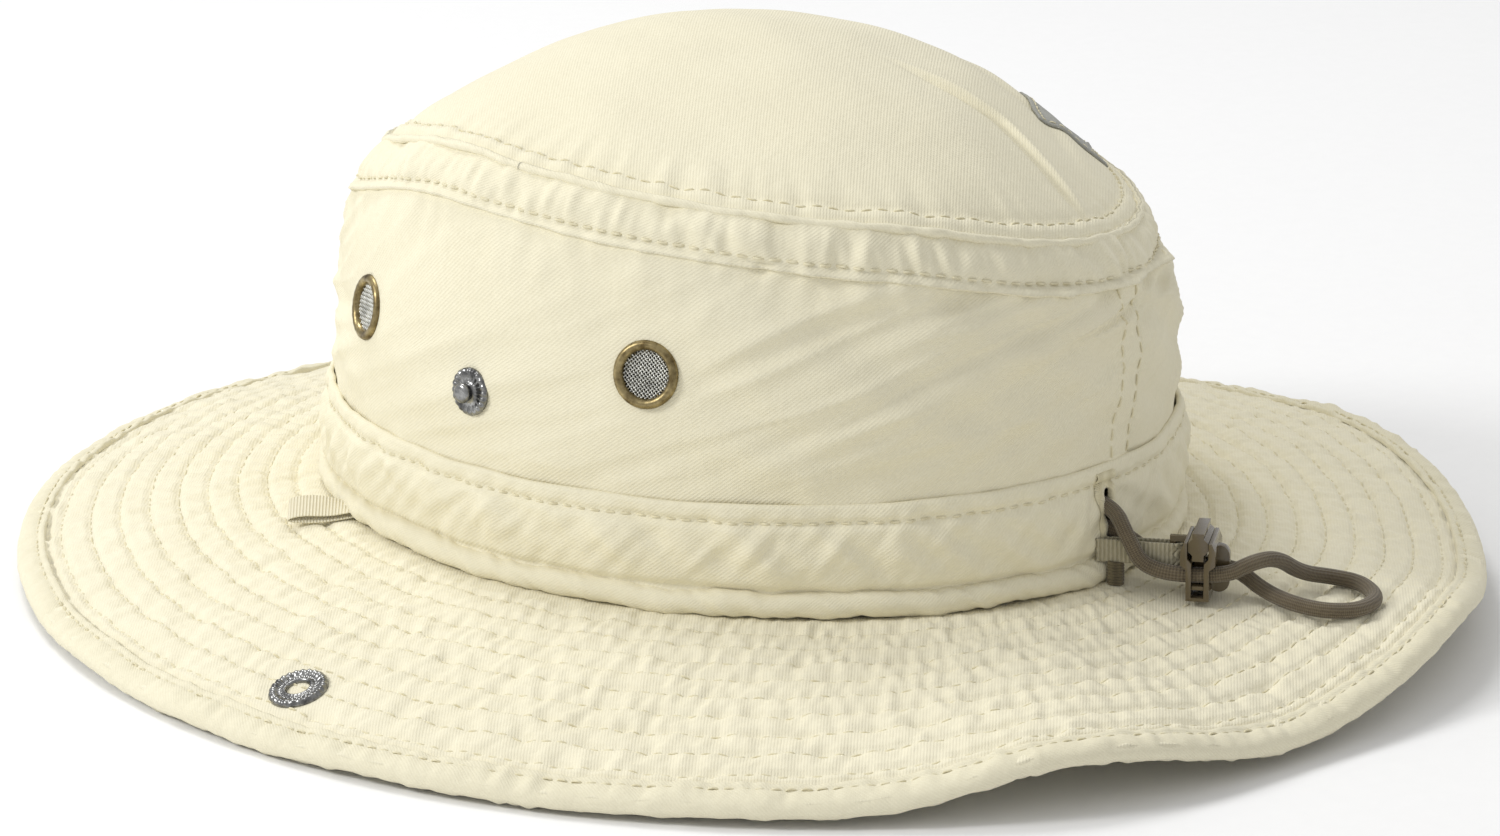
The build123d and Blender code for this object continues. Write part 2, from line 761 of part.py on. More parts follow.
def corner_radii(route):
    radii = []
    for before, corner, after in zip(route, route[1:], route[2:]):
        first = Vector(*corner) - Vector(*before)
        second = Vector(*after) - Vector(*corner)
        half_turn = radians(first.get_angle(second)) / 2
        radii.append(corner_share * min(first.length, second.length) / tan(half_turn))
    return radii


cord_radii = corner_radii(cord_route)
print("cord radii", " ".join(f"{radius:.1f}" for radius in cord_radii))
with BuildPart() as cord_loop:
    with BuildLine() as cord_line:
        FilletPolyline(*cord_route, radius=cord_radii)
    with BuildSketch(Plane(origin=cord_line.line @ 0, z_dir=cord_line.line % 0)):
        Circle(drawcord_diameter / 2)
    sweep()
save("cord_loop", cord_loop)
cord_section = pi * drawcord_diameter**2 / 4
cord_length = sum(edge.length for edge in cord_line.edges())
print(f"cord length {cord_length:.1f} volume {cord_loop.part.volume:.1f}"
      f" section x length {cord_section * cord_length:.1f}")
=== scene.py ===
"""Looks of the boonie hat: cloth with its quilting, seams and wrinkles, the metal, the lock and the cord."""

from math import cos, sin, pi, radians, sqrt, exp, hypot, tau, atan2

import bmesh
import bpy
from mathutils import Matrix, Vector, noise


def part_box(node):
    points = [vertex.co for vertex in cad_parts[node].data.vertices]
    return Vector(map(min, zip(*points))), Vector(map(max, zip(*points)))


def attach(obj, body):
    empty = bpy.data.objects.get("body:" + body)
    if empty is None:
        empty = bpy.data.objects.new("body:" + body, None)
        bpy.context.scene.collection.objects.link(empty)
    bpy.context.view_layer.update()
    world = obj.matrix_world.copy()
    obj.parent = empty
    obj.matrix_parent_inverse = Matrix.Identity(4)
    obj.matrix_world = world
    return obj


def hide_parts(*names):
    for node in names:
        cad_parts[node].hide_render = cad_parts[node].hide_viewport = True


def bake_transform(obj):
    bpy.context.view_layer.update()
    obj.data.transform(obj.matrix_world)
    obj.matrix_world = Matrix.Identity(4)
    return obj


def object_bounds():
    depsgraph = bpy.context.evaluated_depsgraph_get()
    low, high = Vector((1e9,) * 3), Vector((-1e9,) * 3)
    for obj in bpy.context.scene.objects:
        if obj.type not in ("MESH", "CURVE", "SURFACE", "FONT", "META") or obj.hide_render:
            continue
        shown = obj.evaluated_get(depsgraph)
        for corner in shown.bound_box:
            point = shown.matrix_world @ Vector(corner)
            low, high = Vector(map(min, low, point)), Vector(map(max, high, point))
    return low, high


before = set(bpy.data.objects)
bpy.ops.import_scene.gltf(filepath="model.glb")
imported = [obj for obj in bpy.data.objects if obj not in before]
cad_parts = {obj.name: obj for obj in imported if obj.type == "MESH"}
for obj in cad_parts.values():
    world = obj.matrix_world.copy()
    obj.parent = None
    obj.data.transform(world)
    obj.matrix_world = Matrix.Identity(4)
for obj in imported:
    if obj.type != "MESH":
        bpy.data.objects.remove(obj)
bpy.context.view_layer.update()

# ---- Sizes, in millimetres until a mesh is made -----------------------------------------------

MM = 0.001
opening = (84.0, 102.0)
casing_foot = (82.8, 100.8)
casing_head = (84.4, 97.6)
side_foot = (83.6, 96.8)
side_top = (76.0, 93.0)
tip_seam = (71.5, 87.5)
piping_top = 5.4
casing_top = 24.0
casing_stitch = 20.6
stitch_height = 71.5
tip_height = 80.0
side_shift = 1.5
stitch_shift = 3.0
tip_shift = 4.5
lean_x = 0.085
lean_y = -0.06
dome_half = (117.5, 143.8, 126.0)
dome_depth = 100.0
cloth = 1.0

rim_level = -16.5
rim_lifts = ((65, 9.0, 11.5), (103, 9.0, 15.0), (150, 11.0, 30.0), (280, 4.0, 41.0))
brim_half_thickness = 1.15
brim_drop = 1.3
quilt_rows = 9
quilt_first = 0.085
quilt_last = 0.865
stitch_length = 2.5
stitch_gap = 0.8
# mean radii that lay the noise and the cloth's pattern round each ring
edge_round = 155
brim_round = 126
piping_round = 93
casing_round = 92
side_round = 88
band_round = 84
seam_round = 80
sweatband_round = 84

keyhole_width = 4.4
keyhole_bottom = 6.6
keyhole_top = 20.6
eyelet_radius = 7.0
eyelet_opening = 4.9
eyelet_height = 50.0
eyelet_spread = 41.0
snap_y = 1.0
snap_reach = 51.0
stud_height = 40.5

lock_centre = Vector((-7.0, 119.5, 4.4))
lock_along = Vector((-0.5, 0.8660254, 0))
lock_across = Vector((0.8660254, 0.5, 0))
up = Vector((0, 0, 1))
cord_diameter = 3.3
cord_route = [
    (0, 96.4, 16.5), (0.4, 102.6, 16.2), (3.1, 108, 12), (1.5, 111.7, 4.4), (-6.7, 126, 4.4),
    (-11, 129, 6.9), (-17.6, 130.8, 6.9), (-24.6, 131.8, 1.9), (-31.3, 134.8, 0), (-34.6, 140.5, -1),
    (-30.7, 147.4, -2), (-22.6, 148, -2.2), (-16.4, 143.5, -1.6), (-14.3, 136.6, -0.8),
    (-14.8, 129.6, 0.2), (-13.6, 124.4, 3.6), (-11.8, 120.9, 4.4), (-5.3, 109.5, 4.4),
    (-3.3, 105.5, 8.4), (-0.2, 102.4, 11.2), (0, 96.4, 11.2),
]

# ---- Small helpers ------------------------------------------------------------------------------


def mix(low, high, share):
    return low + (high - low) * share


def smooth(low, high, value):
    share = min(max((value - low) / (high - low), 0.0), 1.0)
    return share * share * (3 - 2 * share)


def ripple(x, y, seed):
    """Smooth seeded noise between about -1 and 1."""
    return noise.noise(Vector((x, y, seed * 7.31)))


def ring(angle, radius, wave, across, seed):
    """Smooth seeded noise that joins up round a ring; wave is the length of a ripple along it."""
    reach = radius / wave
    return noise.noise(Vector((reach * cos(angle) + seed, reach * sin(angle), across + seed * 7.31)))


def slump(point):
    """The soft crown sags towards the wearer's forehead and a little at the right rear."""
    weight = smooth(36, 78, point.z)
    front = 16.0 * smooth(-10, -90, point.y)
    rear = 5.0 * smooth(45, 90, 0.86 * point.y - 0.51 * point.x)
    return point - up * weight * (front + rear)


def paint(red, green, blue):
    """A colour given as it looks on screen, 0 to 255, as the shader wants it."""
    def linear(value):
        share = value / 255
        return share / 12.92 if share <= 0.04045 else ((share + 0.055) / 1.055) ** 2.4
    return (linear(red), linear(green), linear(blue), 1.0)


def make_piece(name, points, faces, material, uvs=None, flat=False, wrap=0.0):
    """A mesh from points in millimetres; uvs holds one pair in metres for each point.

    wrap is the way round a closed ring in millimetres: its last faces go on from the end of the cloth.
    """
    mesh = bpy.data.meshes.new(name)
    mesh.from_pydata([Vector(point) * MM for point in points], [], faces)
    mesh.polygons.foreach_set("use_smooth", [not flat] * len(mesh.polygons))
    if uvs:
        layer = mesh.uv_layers.new(name="UVMap")
        for polygon in mesh.polygons:
            across = [uvs[vertex][0] for vertex in polygon.vertices]
            jumps = wrap and max(across) - min(across) > wrap * MM / 2
            for loop, vertex in zip(polygon.loop_indices, polygon.vertices):
                u, v = uvs[vertex]
                layer.data[loop].uv = (u + wrap * MM if jumps and u < wrap * MM / 2 else u, v)
    mesh.materials.append(material)
    piece = bpy.data.objects.new(name, mesh)
    bpy.context.scene.collection.objects.link(piece)
    return piece


def round_grid(levels, columns, place_at):
    """Points and UVs of a ring of cloth; place_at(level, angle) gives a point and its UV in millimetres."""
    points = []
    uvs = []
    for level in levels:
        for column in range(columns):
            point, uv = place_at(level, tau * column / columns)
            points.append(point)
            uvs.append((uv[0] * MM, uv[1] * MM))
    return points, uvs


def strand_faces(first, rings, sides):
    """Quads between the rings of one strand whose points start at an index."""
    faces = []
    for level in range(rings - 1):
        low = first + level * sides
        for step in range(sides):
            after = (step + 1) % sides
            faces.append((low + step, low + after, low + sides + after, low + sides + step))
    return faces


def grid_faces(rows, columns, closed, skip=None):
    """Quads between neighbouring rows; skip(row, column) leaves one out."""
    faces = []
    for row in range(rows - 1):
        for column in range(columns if closed else columns - 1):
            if skip and skip(row, column):
                continue
            after = (column + 1) % columns
            faces.append((row * columns + column, row * columns + after,
                          (row + 1) * columns + after, (row + 1) * columns + column))
    return faces


def thicken(piece, thickness):
    modifier = piece.modifiers.new("thickness", "SOLIDIFY")
    modifier.thickness = thickness * MM
    modifier.offset = -1
    return piece


def clean(piece):
    """Makes every face look outward and drops loose points."""
    work = bmesh.new()
    work.from_mesh(piece.data)
    loose = [vertex for vertex in work.verts if not vertex.link_faces]
    bmesh.ops.delete(work, geom=loose, context="VERTS")
    bmesh.ops.recalc_face_normals(work, faces=work.faces)
    work.to_mesh(piece.data)
    work.free()
    return piece


def ellipse_point(half, angle, height, shift=0.0):
    return Vector((half[0] * cos(angle), half[1] * sin(angle) + shift, height))


def tube(name, path, radius_at, sides, material, closed=False):
    """A round tube along a path; radius_at(index) gives its radius at each point."""
    points = []
    uvs = []
    count = len(path)
    normal = Vector((0, 0, 1))
    travelled = 0.0
    for index, centre in enumerate(path):
        before = path[index - 1] if index or closed else path[0]
        after = path[(index + 1) % count] if index < count - 1 or closed else path[-1]
        direction = (after - before).normalized()
        if index == 0 and abs(direction.z) > 0.9:
            normal = Vector((1, 0, 0))
        normal = (normal - direction * normal.dot(direction)).normalized()
        side = direction.cross(normal)
        radius = radius_at(index)
        travelled += (centre - path[index - 1]).length if index else 0.0
        for step in range(sides):
            turn = tau * step / sides
            points.append(centre + (normal * cos(turn) + side * sin(turn)) * radius)
            uvs.append((travelled * MM, step / sides * tau * radius * MM))
    faces = grid_faces(count, sides, True)
    if closed:
        last = (count - 1) * sides
        for step in range(sides):
            after = (step + 1) % sides
            faces.append((last + step, last + after, after, step))
    else:
        faces.append(tuple(reversed(range(sides))))
        faces.append(tuple(range((count - 1) * sides, count * sides)))
    return make_piece(name, points, faces, material, uvs)


def lathe(name, place, profile, material, sides=64, bump=None):
    """(radius, height) pairs turned about the place's Z; bump(angle, radius, height) lifts the surface."""
    points = []
    for radius, height in profile:
        for step in range(sides):
            angle = tau * step / sides
            lift = bump(angle, radius, height) if bump else 0.0
            points.append(place @ Vector((radius * cos(angle), radius * sin(angle), height + lift)))
    closed = profile[0] == profile[-1]
    piece = make_piece(name, points, grid_faces(len(profile), sides, True), material)
    if closed:
        work = bmesh.new()
        work.from_mesh(piece.data)
        bmesh.ops.remove_doubles(work, verts=work.verts, dist=1e-6)
        work.to_mesh(piece.data)
        work.free()
    return clean(piece)


def stitches(name, line, material, length=stitch_length, gap=stitch_gap, radius=0.24):
    """Running stitches along a line of (point, outward normal) pairs, each one a small arched thread."""
    points = []
    faces = []
    travelled = [0.0]
    for index in range(1, len(line)):
        travelled.append(travelled[-1] + (line[index][0] - line[index - 1][0]).length)
    total = travelled[-1]
    count = max(int(total / (length + gap)), 1)
    pitch = total / count
    thread = pitch - gap
    sides = 6
    rings = ((0.0, -0.9, 0.5), (0.16, 0.35, 0.95), (0.5, 0.75, 1.0), (0.84, 0.35, 0.95), (1.0, -0.9, 0.5))
    place = 0
    for number in range(count):
        start = number * pitch + gap / 2
        first = len(points)
        for share, lift, width in rings:
            distance = start + thread * share
            while place < len(travelled) - 2 and travelled[place + 1] < distance:
                place += 1
            while place > 0 and travelled[place] > distance:
                place -= 1
            span = travelled[place + 1] - travelled[place]
            between = (distance - travelled[place]) / span if span else 0.0
            centre = line[place][0].lerp(line[place + 1][0], between)
            normal = line[place][1]
            along = (line[place + 1][0] - line[place][0]).normalized()
            side = along.cross(normal).normalized()
            centre = centre + normal * radius * lift
            for step in range(sides):
                turn = tau * step / sides
                points.append(centre + (normal * cos(turn) + side * sin(turn)) * radius * width)
        faces += strand_faces(first, len(rings), sides)
        faces.append(tuple(first + step for step in reversed(range(sides))))
        faces.append(tuple(first + (len(rings) - 1) * sides + step for step in range(sides)))
    return make_piece(name, points, faces, material)


def sew_round(name, slot, place_at, length=2.4, gap=0.9, count=720):
    """Stitches once round the crown; place_at(angle) gives a point and the way out of the cloth."""
    line = [place_at(tau * step / count) for step in range(count + 1)]
    settle(stitches(name, line, sewing_thread, length, gap), "root", slot)


def settle(piece, body, slot, *nodes):
    """Fixes a finished piece to its body and hides the CAD nodes it stands for; slot is not used."""
    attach(piece, body)
    if nodes:
        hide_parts(*nodes)


# ---- Materials ----------------------------------------------------------------------------------


class Shader:
    """A material's node tree, with short ways to add and join its nodes."""

    def __init__(self, name):
        self.material = bpy.data.materials.new(name)
        self.material.use_nodes = True
        self.tree = self.material.node_tree
        self.surface = self.tree.nodes["Principled BSDF"]

    def node(self, kind, inputs=None, **settings):
        added = self.tree.nodes.new(kind)
        for key, value in settings.items():
            setattr(added, key, value)
        for key, value in (inputs or {}).items():
            self.put(value, added.inputs[key])
        return added

    def put(self, value, socket):
        if isinstance(value, bpy.types.NodeSocket):
            self.tree.links.new(value, socket)
        else:
            socket.default_value = value

    def set(self, **values):
        for key, value in values.items():
            self.put(value, self.surface.inputs[key.replace("_", " ")])

    def noise(self, vector, scale, detail=4.0, roughness=0.6):
        inputs = {"Vector": vector, "Scale": scale, "Detail": detail, "Roughness": roughness}
        return self.node("ShaderNodeTexNoise", inputs).outputs["Fac"]

    def waves(self, vector, scale, distortion=0.0):
        inputs = {"Vector": vector, "Scale": scale, "Distortion": distortion, "Detail Scale": 2.0}
        return self.node("ShaderNodeTexWave", inputs, bands_direction="X").outputs["Fac"]

    def turned(self, vector, degrees):
        inputs = {"Vector": vector, "Rotation": (0, 0, radians(degrees))}
        return self.node("ShaderNodeMapping", inputs).outputs["Vector"]

    def between(self, share, low, high):
        inputs = {"Factor": share, "A": low, "B": high}
        if isinstance(low, tuple):
            added = self.tree.nodes.new("ShaderNodeMix")
            added.data_type = "RGBA"
            self.put(share, added.inputs[0])
            self.put(low, added.inputs[6])
            self.put(high, added.inputs[7])
            return added.outputs[2]
        return self.node("ShaderNodeMix", inputs).outputs[0]

    def ramp(self, value, low, high, start=0.0, end=1.0):
        inputs = {"Value": value, "From Min": low, "From Max": high, "To Min": start, "To Max": end}
        return self.node("ShaderNodeMapRange", inputs).outputs["Result"]

    def math(self, operation, first, second):
        added = self.tree.nodes.new("ShaderNodeMath")
        added.operation = operation
        self.put(first, added.inputs[0])
        self.put(second, added.inputs[1])
        return added.outputs[0]

    def bump(self, height, distance, strength=1.0, before=None):
        inputs = {"Height": height, "Distance": distance, "Strength": strength}
        if before:
            inputs["Normal"] = before
        return self.node("ShaderNodeBump", inputs).outputs["Normal"]

    def uv(self):
        return self.node("ShaderNodeTexCoord").outputs["UV"]

    def local(self):
        return self.node("ShaderNodeTexCoord").outputs["Object"]


def cloth_material(name, light, dark, thread=0.62, relief=0.00012):
    """Light twill: fine diagonal ribs, crossing yarns, slubs, and a soft uneven tone."""
    shader = Shader(name)
    uv = shader.uv()
    repeat = tau / (thread * MM) / 20
    ribs = shader.waves(shader.turned(uv, 52), repeat, 0.6)
    warp = shader.waves(shader.turned(uv, 0), repeat * 1.6)
    weft = shader.waves(shader.turned(uv, 90), repeat * 1.6)
    yarns = shader.math("MULTIPLY", warp, weft)
    weave = shader.between(0.35, ribs, yarns)
    slubs = shader.noise(uv, 900.0, 3.0)
    patches = shader.noise(uv, 38.0, 5.0, 0.55)
    tone = shader.between(0.55, shader.ramp(patches, 0.3, 0.72), shader.ramp(slubs, 0.3, 0.7))
    tone = shader.between(0.35, tone, weave)
    shader.set(Base_Color=shader.between(tone, dark, light))
    shader.set(Roughness=shader.ramp(weave, 0.0, 1.0, 0.93, 0.8))
    shader.set(Sheen_Weight=0.12, Sheen_Roughness=0.5, Specular_IOR_Level=0.25)
    crumple = shader.bump(shader.noise(uv, 160.0, 5.0, 0.6), 0.0006, 0.55)
    shader.set(Normal=shader.bump(shader.between(0.3, weave, slubs), relief, 0.8, crumple))
    return shader.material


def thread_material(name, light, dark):
    """Twisted sewing thread."""
    shader = Shader(name)
    place = shader.local()
    strands = shader.waves(shader.turned(place, 40), 130.0, 1.0)
    fuzz = shader.noise(place, 1400.0)
    shader.set(Base_Color=shader.between(shader.between(0.5, strands, fuzz), dark, light))
    shader.set(Roughness=0.72, Specular_IOR_Level=0.35, Sheen_Weight=0.2)
    shader.set(Normal=shader.bump(strands, 0.00008, 0.8))
    return shader.material


def ribbon_material(name, light, dark, pitch):
    """Grosgrain: raised ribs across the ribbon with a fine yarn along them."""
    shader = Shader(name)
    uv = shader.uv()
    ribs = shader.waves(uv, tau / (pitch * MM) / 20)
    yarns = shader.waves(shader.turned(uv, 90), 170.0)
    dirt = shader.noise(uv, 300.0)
    shader.set(Base_Color=shader.between(shader.between(0.45, ribs, dirt), dark, light))
    shader.set(Roughness=0.78, Sheen_Weight=0.2)
    fine = shader.bump(yarns, 0.00005, 0.6)
    shader.set(Normal=shader.bump(ribs, 0.00018, 0.9, fine))
    return shader.material


def cord_material(name, light, dark, along, around):
    """Braided elastic: two sets of yarns that cross on a slant, over a curve's own 0 to 1 coordinates."""
    shader = Shader(name)
    split = shader.node("ShaderNodeSeparateXYZ", {"Vector": shader.uv()}).outputs
    length = shader.math("MULTIPLY", split["X"], along)
    turn = shader.math("MULTIPLY", split["Y"], around)
    rising = shader.math("SINE", shader.math("MULTIPLY", shader.math("ADD", length, turn), tau), 0.0)
    falling = shader.math("SINE", shader.math("MULTIPLY", shader.math("SUBTRACT", length, turn), tau), 0.0)
    braid = shader.ramp(shader.math("MULTIPLY", rising, falling), -1.0, 1.0)
    fuzz = shader.noise(shader.local(), 1600.0)
    worn = shader.noise(shader.local(), 120.0)
    tone = shader.between(0.4, shader.between(0.4, braid, fuzz), worn)
    shader.set(Base_Color=shader.between(shader.ramp(tone, 0.25, 0.75), dark, light))
    shader.set(Roughness=0.8, Sheen_Weight=0.25, Specular_IOR_Level=0.3)
    fine = shader.bump(fuzz, 0.00012, 0.6)
    shader.set(Normal=shader.bump(braid, 0.00022, 0.9, fine))
    return shader.material


def metal_material(name, light, dark, roughness, wear=320.0):
    """Plated metal with darker tarnish, fine scratches and uneven gloss."""
    shader = Shader(name)
    place = shader.local()
    tarnish = shader.ramp(shader.noise(place, wear, 6.0), 0.35, 0.68)
    drawn_out = shader.node("ShaderNodeMapping", {"Vector": place, "Scale": (1, 9, 1)}).outputs[0]
    scratches = shader.noise(drawn_out, 900.0)
    shader.set(Base_Color=shader.between(tarnish, dark, light), Metallic=1.0)
    polish = shader.between(0.4, tarnish, scratches)
    shader.set(Roughness=shader.ramp(polish, 0.0, 1.0, roughness + 0.16, roughness))
    shader.set(Normal=shader.bump(scratches, 0.00002, 0.5))
    return shader.material


def plastic_material(name, light, dark):
    """Moulded nylon: faint flow marks, a slight orange peel and a soft gloss with scuffs."""
    shader = Shader(name)
    place = shader.local()
    flow = shader.noise(place, 140.0, 3.0)
    peel = shader.noise(place, 1500.0, 2.0)
    scuffs = shader.ramp(shader.noise(place, 520.0, 8.0, 0.75), 0.5, 0.75)
    shader.set(Base_Color=shader.between(flow, dark, light))
    shader.set(Roughness=shader.between(scuffs, 0.18, 0.34), Coat_Weight=0.2, Coat_Roughness=0.2)
    shader.set(Normal=shader.bump(peel, 0.00002, 0.6))
    return shader.material


def floor_material():
    """Pale studio paper."""
    shader = Shader("studio_paper")
    grain = shader.noise(shader.local(), 240.0)
    shader.set(Base_Color=shader.between(grain, (0.90, 0.90, 0.90, 1), (0.93, 0.93, 0.93, 1)))
    shader.set(Roughness=0.9)
    return shader.material


crown_cloth = cloth_material("crown_cloth", paint(236, 230, 205), paint(224, 217, 190))
brim_cloth = cloth_material("brim_cloth", paint(238, 232, 208), paint(226, 219, 193))
under_cloth = cloth_material("under_cloth", paint(231, 225, 200), paint(218, 211, 184))
binding_cloth = cloth_material("binding_cloth", paint(234, 228, 203), paint(221, 214, 187), 0.55)
sweatband_cloth = cloth_material("sweatband_cloth", paint(226, 216, 184), paint(204, 192, 158), 0.6)
label_cloth = cloth_material("label_cloth", paint(176, 176, 168), paint(150, 150, 144), 0.3)
sewing_thread = thread_material("sewing_thread", paint(232, 225, 196), paint(206, 197, 164))
whipping_thread = thread_material("whipping_thread", paint(120, 110, 84), paint(74, 66, 48))
ribbon_cloth = ribbon_material("ribbon_cloth", paint(240, 234, 210), paint(206, 196, 164), 0.7)
elastic_braid = cord_material("elastic_braid", paint(122, 110, 88), paint(72, 62, 46), 190.0, 8.0)
tape_braid = ribbon_material("tape_braid", paint(190, 183, 158), paint(140, 132, 106), 0.9)
eyelet_brass = metal_material("eyelet_brass", paint(176, 160, 118), paint(92, 78, 50), 0.3)
mesh_steel = metal_material("mesh_steel", paint(236, 236, 230), paint(176, 176, 170), 0.3)
snap_metal = metal_material("snap_metal", paint(176, 176, 174), paint(84, 84, 84), 0.2)
spring_steel = metal_material("spring_steel", paint(186, 186, 184), paint(120, 120, 118), 0.25)
lock_plastic = plastic_material("lock_plastic", paint(98, 85, 60), paint(72, 62, 42))

# ---- Brim ---------------------------------------------------------------------------------------


def rim_height(degrees):
    height = rim_level
    for centre, lift, spread in rim_lifts:
        away = (degrees - centre + 180) % 360 - 180
        height += lift * exp(-(away / spread) ** 2)
    return height


def brim_reach(degrees):
    width = 66.5 - 2.0 * cos(radians(degrees - 117))
    return sqrt(width ** 2 - rim_height(degrees) ** 2)


def brim_level(degrees, distance):
    """Height of the brim's middle surface at a distance outside the base seam."""
    share = max(distance / brim_reach(degrees), 0.0)
    fall = 0.4 * share + 0.6 * share ** 2
    return -brim_drop + (rim_height(degrees) + brim_drop) * fall


def brim_outward(degrees):
    angle = radians(degrees)
    x = cos(angle) / opening[0]
    y = sin(angle) / opening[1]
    length = hypot(x, y)
    return Vector((x / length, y / length, 0))


def quilt_shares():
    return [mix(quilt_first, quilt_last, row / (quilt_rows - 1)) for row in range(quilt_rows)]


def away_from_socket(degrees, distance):
    """How far a place on the brim is from the nearer snap socket, where the cloth is pressed flat."""
    turned = min(abs((degrees - centre + 180) % 360 - 180) for centre in (0.5, 179.5))
    return hypot(distance - snap_reach, radians(turned) * (opening[1] + distance))


def away_from_lock(degrees, distance):
    """How far a place on the brim is from under the cord lock, where the cloth stays low."""
    return hypot(distance - 17.6, radians(degrees - 93.9) * (opening[0] + 1.2 * distance))


def brim_relief(degrees, share, face):
    """How far the quilted cloth stands off the plain sheet: grooves at the stitching, puckers between."""
    angle = radians(degrees)
    distance = share * 64
    groove = 0.0
    nearness = 0.0
    for row in quilt_shares():
        away = abs(share - row) * 64
        groove += exp(-(away / 0.7) ** 2)
        nearness += exp(-(away / 2.2) ** 2)
    edge = smooth(-0.06, 0.03, share) * smooth(6.5, 11.0, away_from_socket(degrees, distance))
    edge *= mix(0.2, 1.0, smooth(11.0, 18.0, away_from_lock(degrees, distance)))
    puckers = ring(angle, brim_round, 3.0, distance / 5.2, 3 * face)
    puckers += 0.7 * ring(angle, brim_round, 6.5, distance / 9.0, 5 * face)
    creases = ring(angle + distance / 300, brim_round, 2.0, distance / 3.0, 9 * face)
    waves = ring(angle, brim_round, 24.0, distance / 34.0, 11)
    edge_groove = exp(-((distance - 58.1) / 0.7) ** 2)
    gathered = puckers * (0.45 + 0.45 * min(nearness, 1)) + 0.35 * creases
    relief = 0.3 - 0.9 * min(groove, 1) - 0.9 * edge_groove + gathered
    return relief * edge, 0.9 * waves * edge * (0.35 + 0.65 * share)


def brim_point(degrees, distance, face):
    """A point of the quilted top cloth (face 1) or under cloth (face -1)."""
    angle = radians(degrees)
    share = distance / brim_reach(degrees)
    relief, wave = brim_relief(degrees, share, face)
    base = ellipse_point(opening, angle, 0)
    level = brim_level(degrees, distance) + wave + face * (brim_half_thickness + relief)
    return base + brim_outward(degrees) * distance + up * level


def brim_wave(degrees, distance):
    """A point of the brim's middle surface, with its broad waves."""
    share = distance / brim_reach(degrees)
    wave = brim_relief(degrees, share, 1)[1]
    base = ellipse_point(opening, radians(degrees), 0)
    return base + brim_outward(degrees) * distance + up * (brim_level(degrees, distance) + wave)


def split_halves(name, columns, rows_points, uvs, material, joined, wrap=0.0):
    """Left and right halves of a ring of rows, split at the front and back, each passed to joined with its
    side.
    """
    rows = len(rows_points)
    whole = make_piece(name + "_whole", [point for row in rows_points for point in row],
                       grid_faces(rows, columns, True), material)
    normals = [vertex.normal.copy() for vertex in whole.data.vertices]
    bpy.data.objects.remove(whole)
    halves = []
    for side, half_name in ((1, "left"), (-1, "right")):
        first = -columns // 4 if side > 0 else columns // 4
        picked = [(first + step) % columns for step in range(columns // 2 + 1)]
        points = [rows_points[row][column] for row in range(rows) for column in picked]
        half_uvs = [uvs[row][column] for row in range(rows) for column in picked]
        faces = grid_faces(rows, len(picked), False)
        piece = make_piece(f"{half_name}_{name}", points, faces, material, half_uvs, wrap=wrap)
        piece.data.normals_split_custom_set_from_vertices(
            [normals[row * columns + column] for row in range(rows) for column in picked])
        joined(piece, side)
        halves.append(piece)
    return halves


def hinge_x(side):
    """Where the fold's flap begins, in millimetres from the middle."""
    low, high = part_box("left_flap_top_cloth" if side > 0 else "right_flap_top_cloth")
    return (low[0] if side > 0 else high[0]) / MM


def bend_with_fold(piece, side):
    line = hinge_x(side)
    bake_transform(piece)


def make_brim():
    columns = 1440
    tuck = -4.0
    steps = 92
    shares = [mix(tuck / 64, 1.0, step / (steps - 1)) for step in range(steps)]
    rows_points = []
    uvs = []
    for face, order in ((1, shares), (-1, list(reversed(shares)))):
        for share in order:
            turns = [360 * column / columns for column in range(columns)]
            row = [brim_point(degrees, share * brim_reach(degrees), face) for degrees in turns]
            rows_points.append(row)
            uvs.append([(point.x * MM, point.y * MM) for point in row])
    halves = split_halves("brim_quilting", columns, rows_points, uvs, brim_cloth, bend_with_fold)
    for piece, side in zip(halves, ("left", "right")):
        piece.data.materials.append(under_cloth)
        for polygon in piece.data.polygons:
            if polygon.index // (columns // 2) >= steps - 1:
                polygon.material_index = 1
        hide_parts(f"{side}_flap_top_cloth", f"{side}_flap_under_cloth", f"{side}_flap_interlining")
    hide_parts("brim_top_cloth", "brim_under_cloth", "brim_interlining")


def sew_halves(title, place_at, length=stitch_length, gap=stitch_gap):
    """One row of stitches on both faces of each half; place_at(degrees, face) is a point of the cloth."""
    for side, half_name in ((1, "left"), (-1, "right")):
        start = -89.9 if side > 0 else 90.1
        for face, face_name in ((1, "top"), (-1, "under")):
            turns = [start + 179.8 * step / 359 for step in range(360)]
            line = [(place_at(degrees, face), up * face) for degrees in turns]
            name = f"{half_name}_{face_name}_{title}"
            piece = stitches(name, line, sewing_thread, length, gap)
            bend_with_fold(piece, side)


def make_brim_stitches():
    for number, share in enumerate(quilt_shares()):
        def on_quilt(degrees, face, share=share):
            return brim_point(degrees, share * brim_reach(degrees), face)
        sew_halves(f"quilting_thread_{number}", on_quilt)


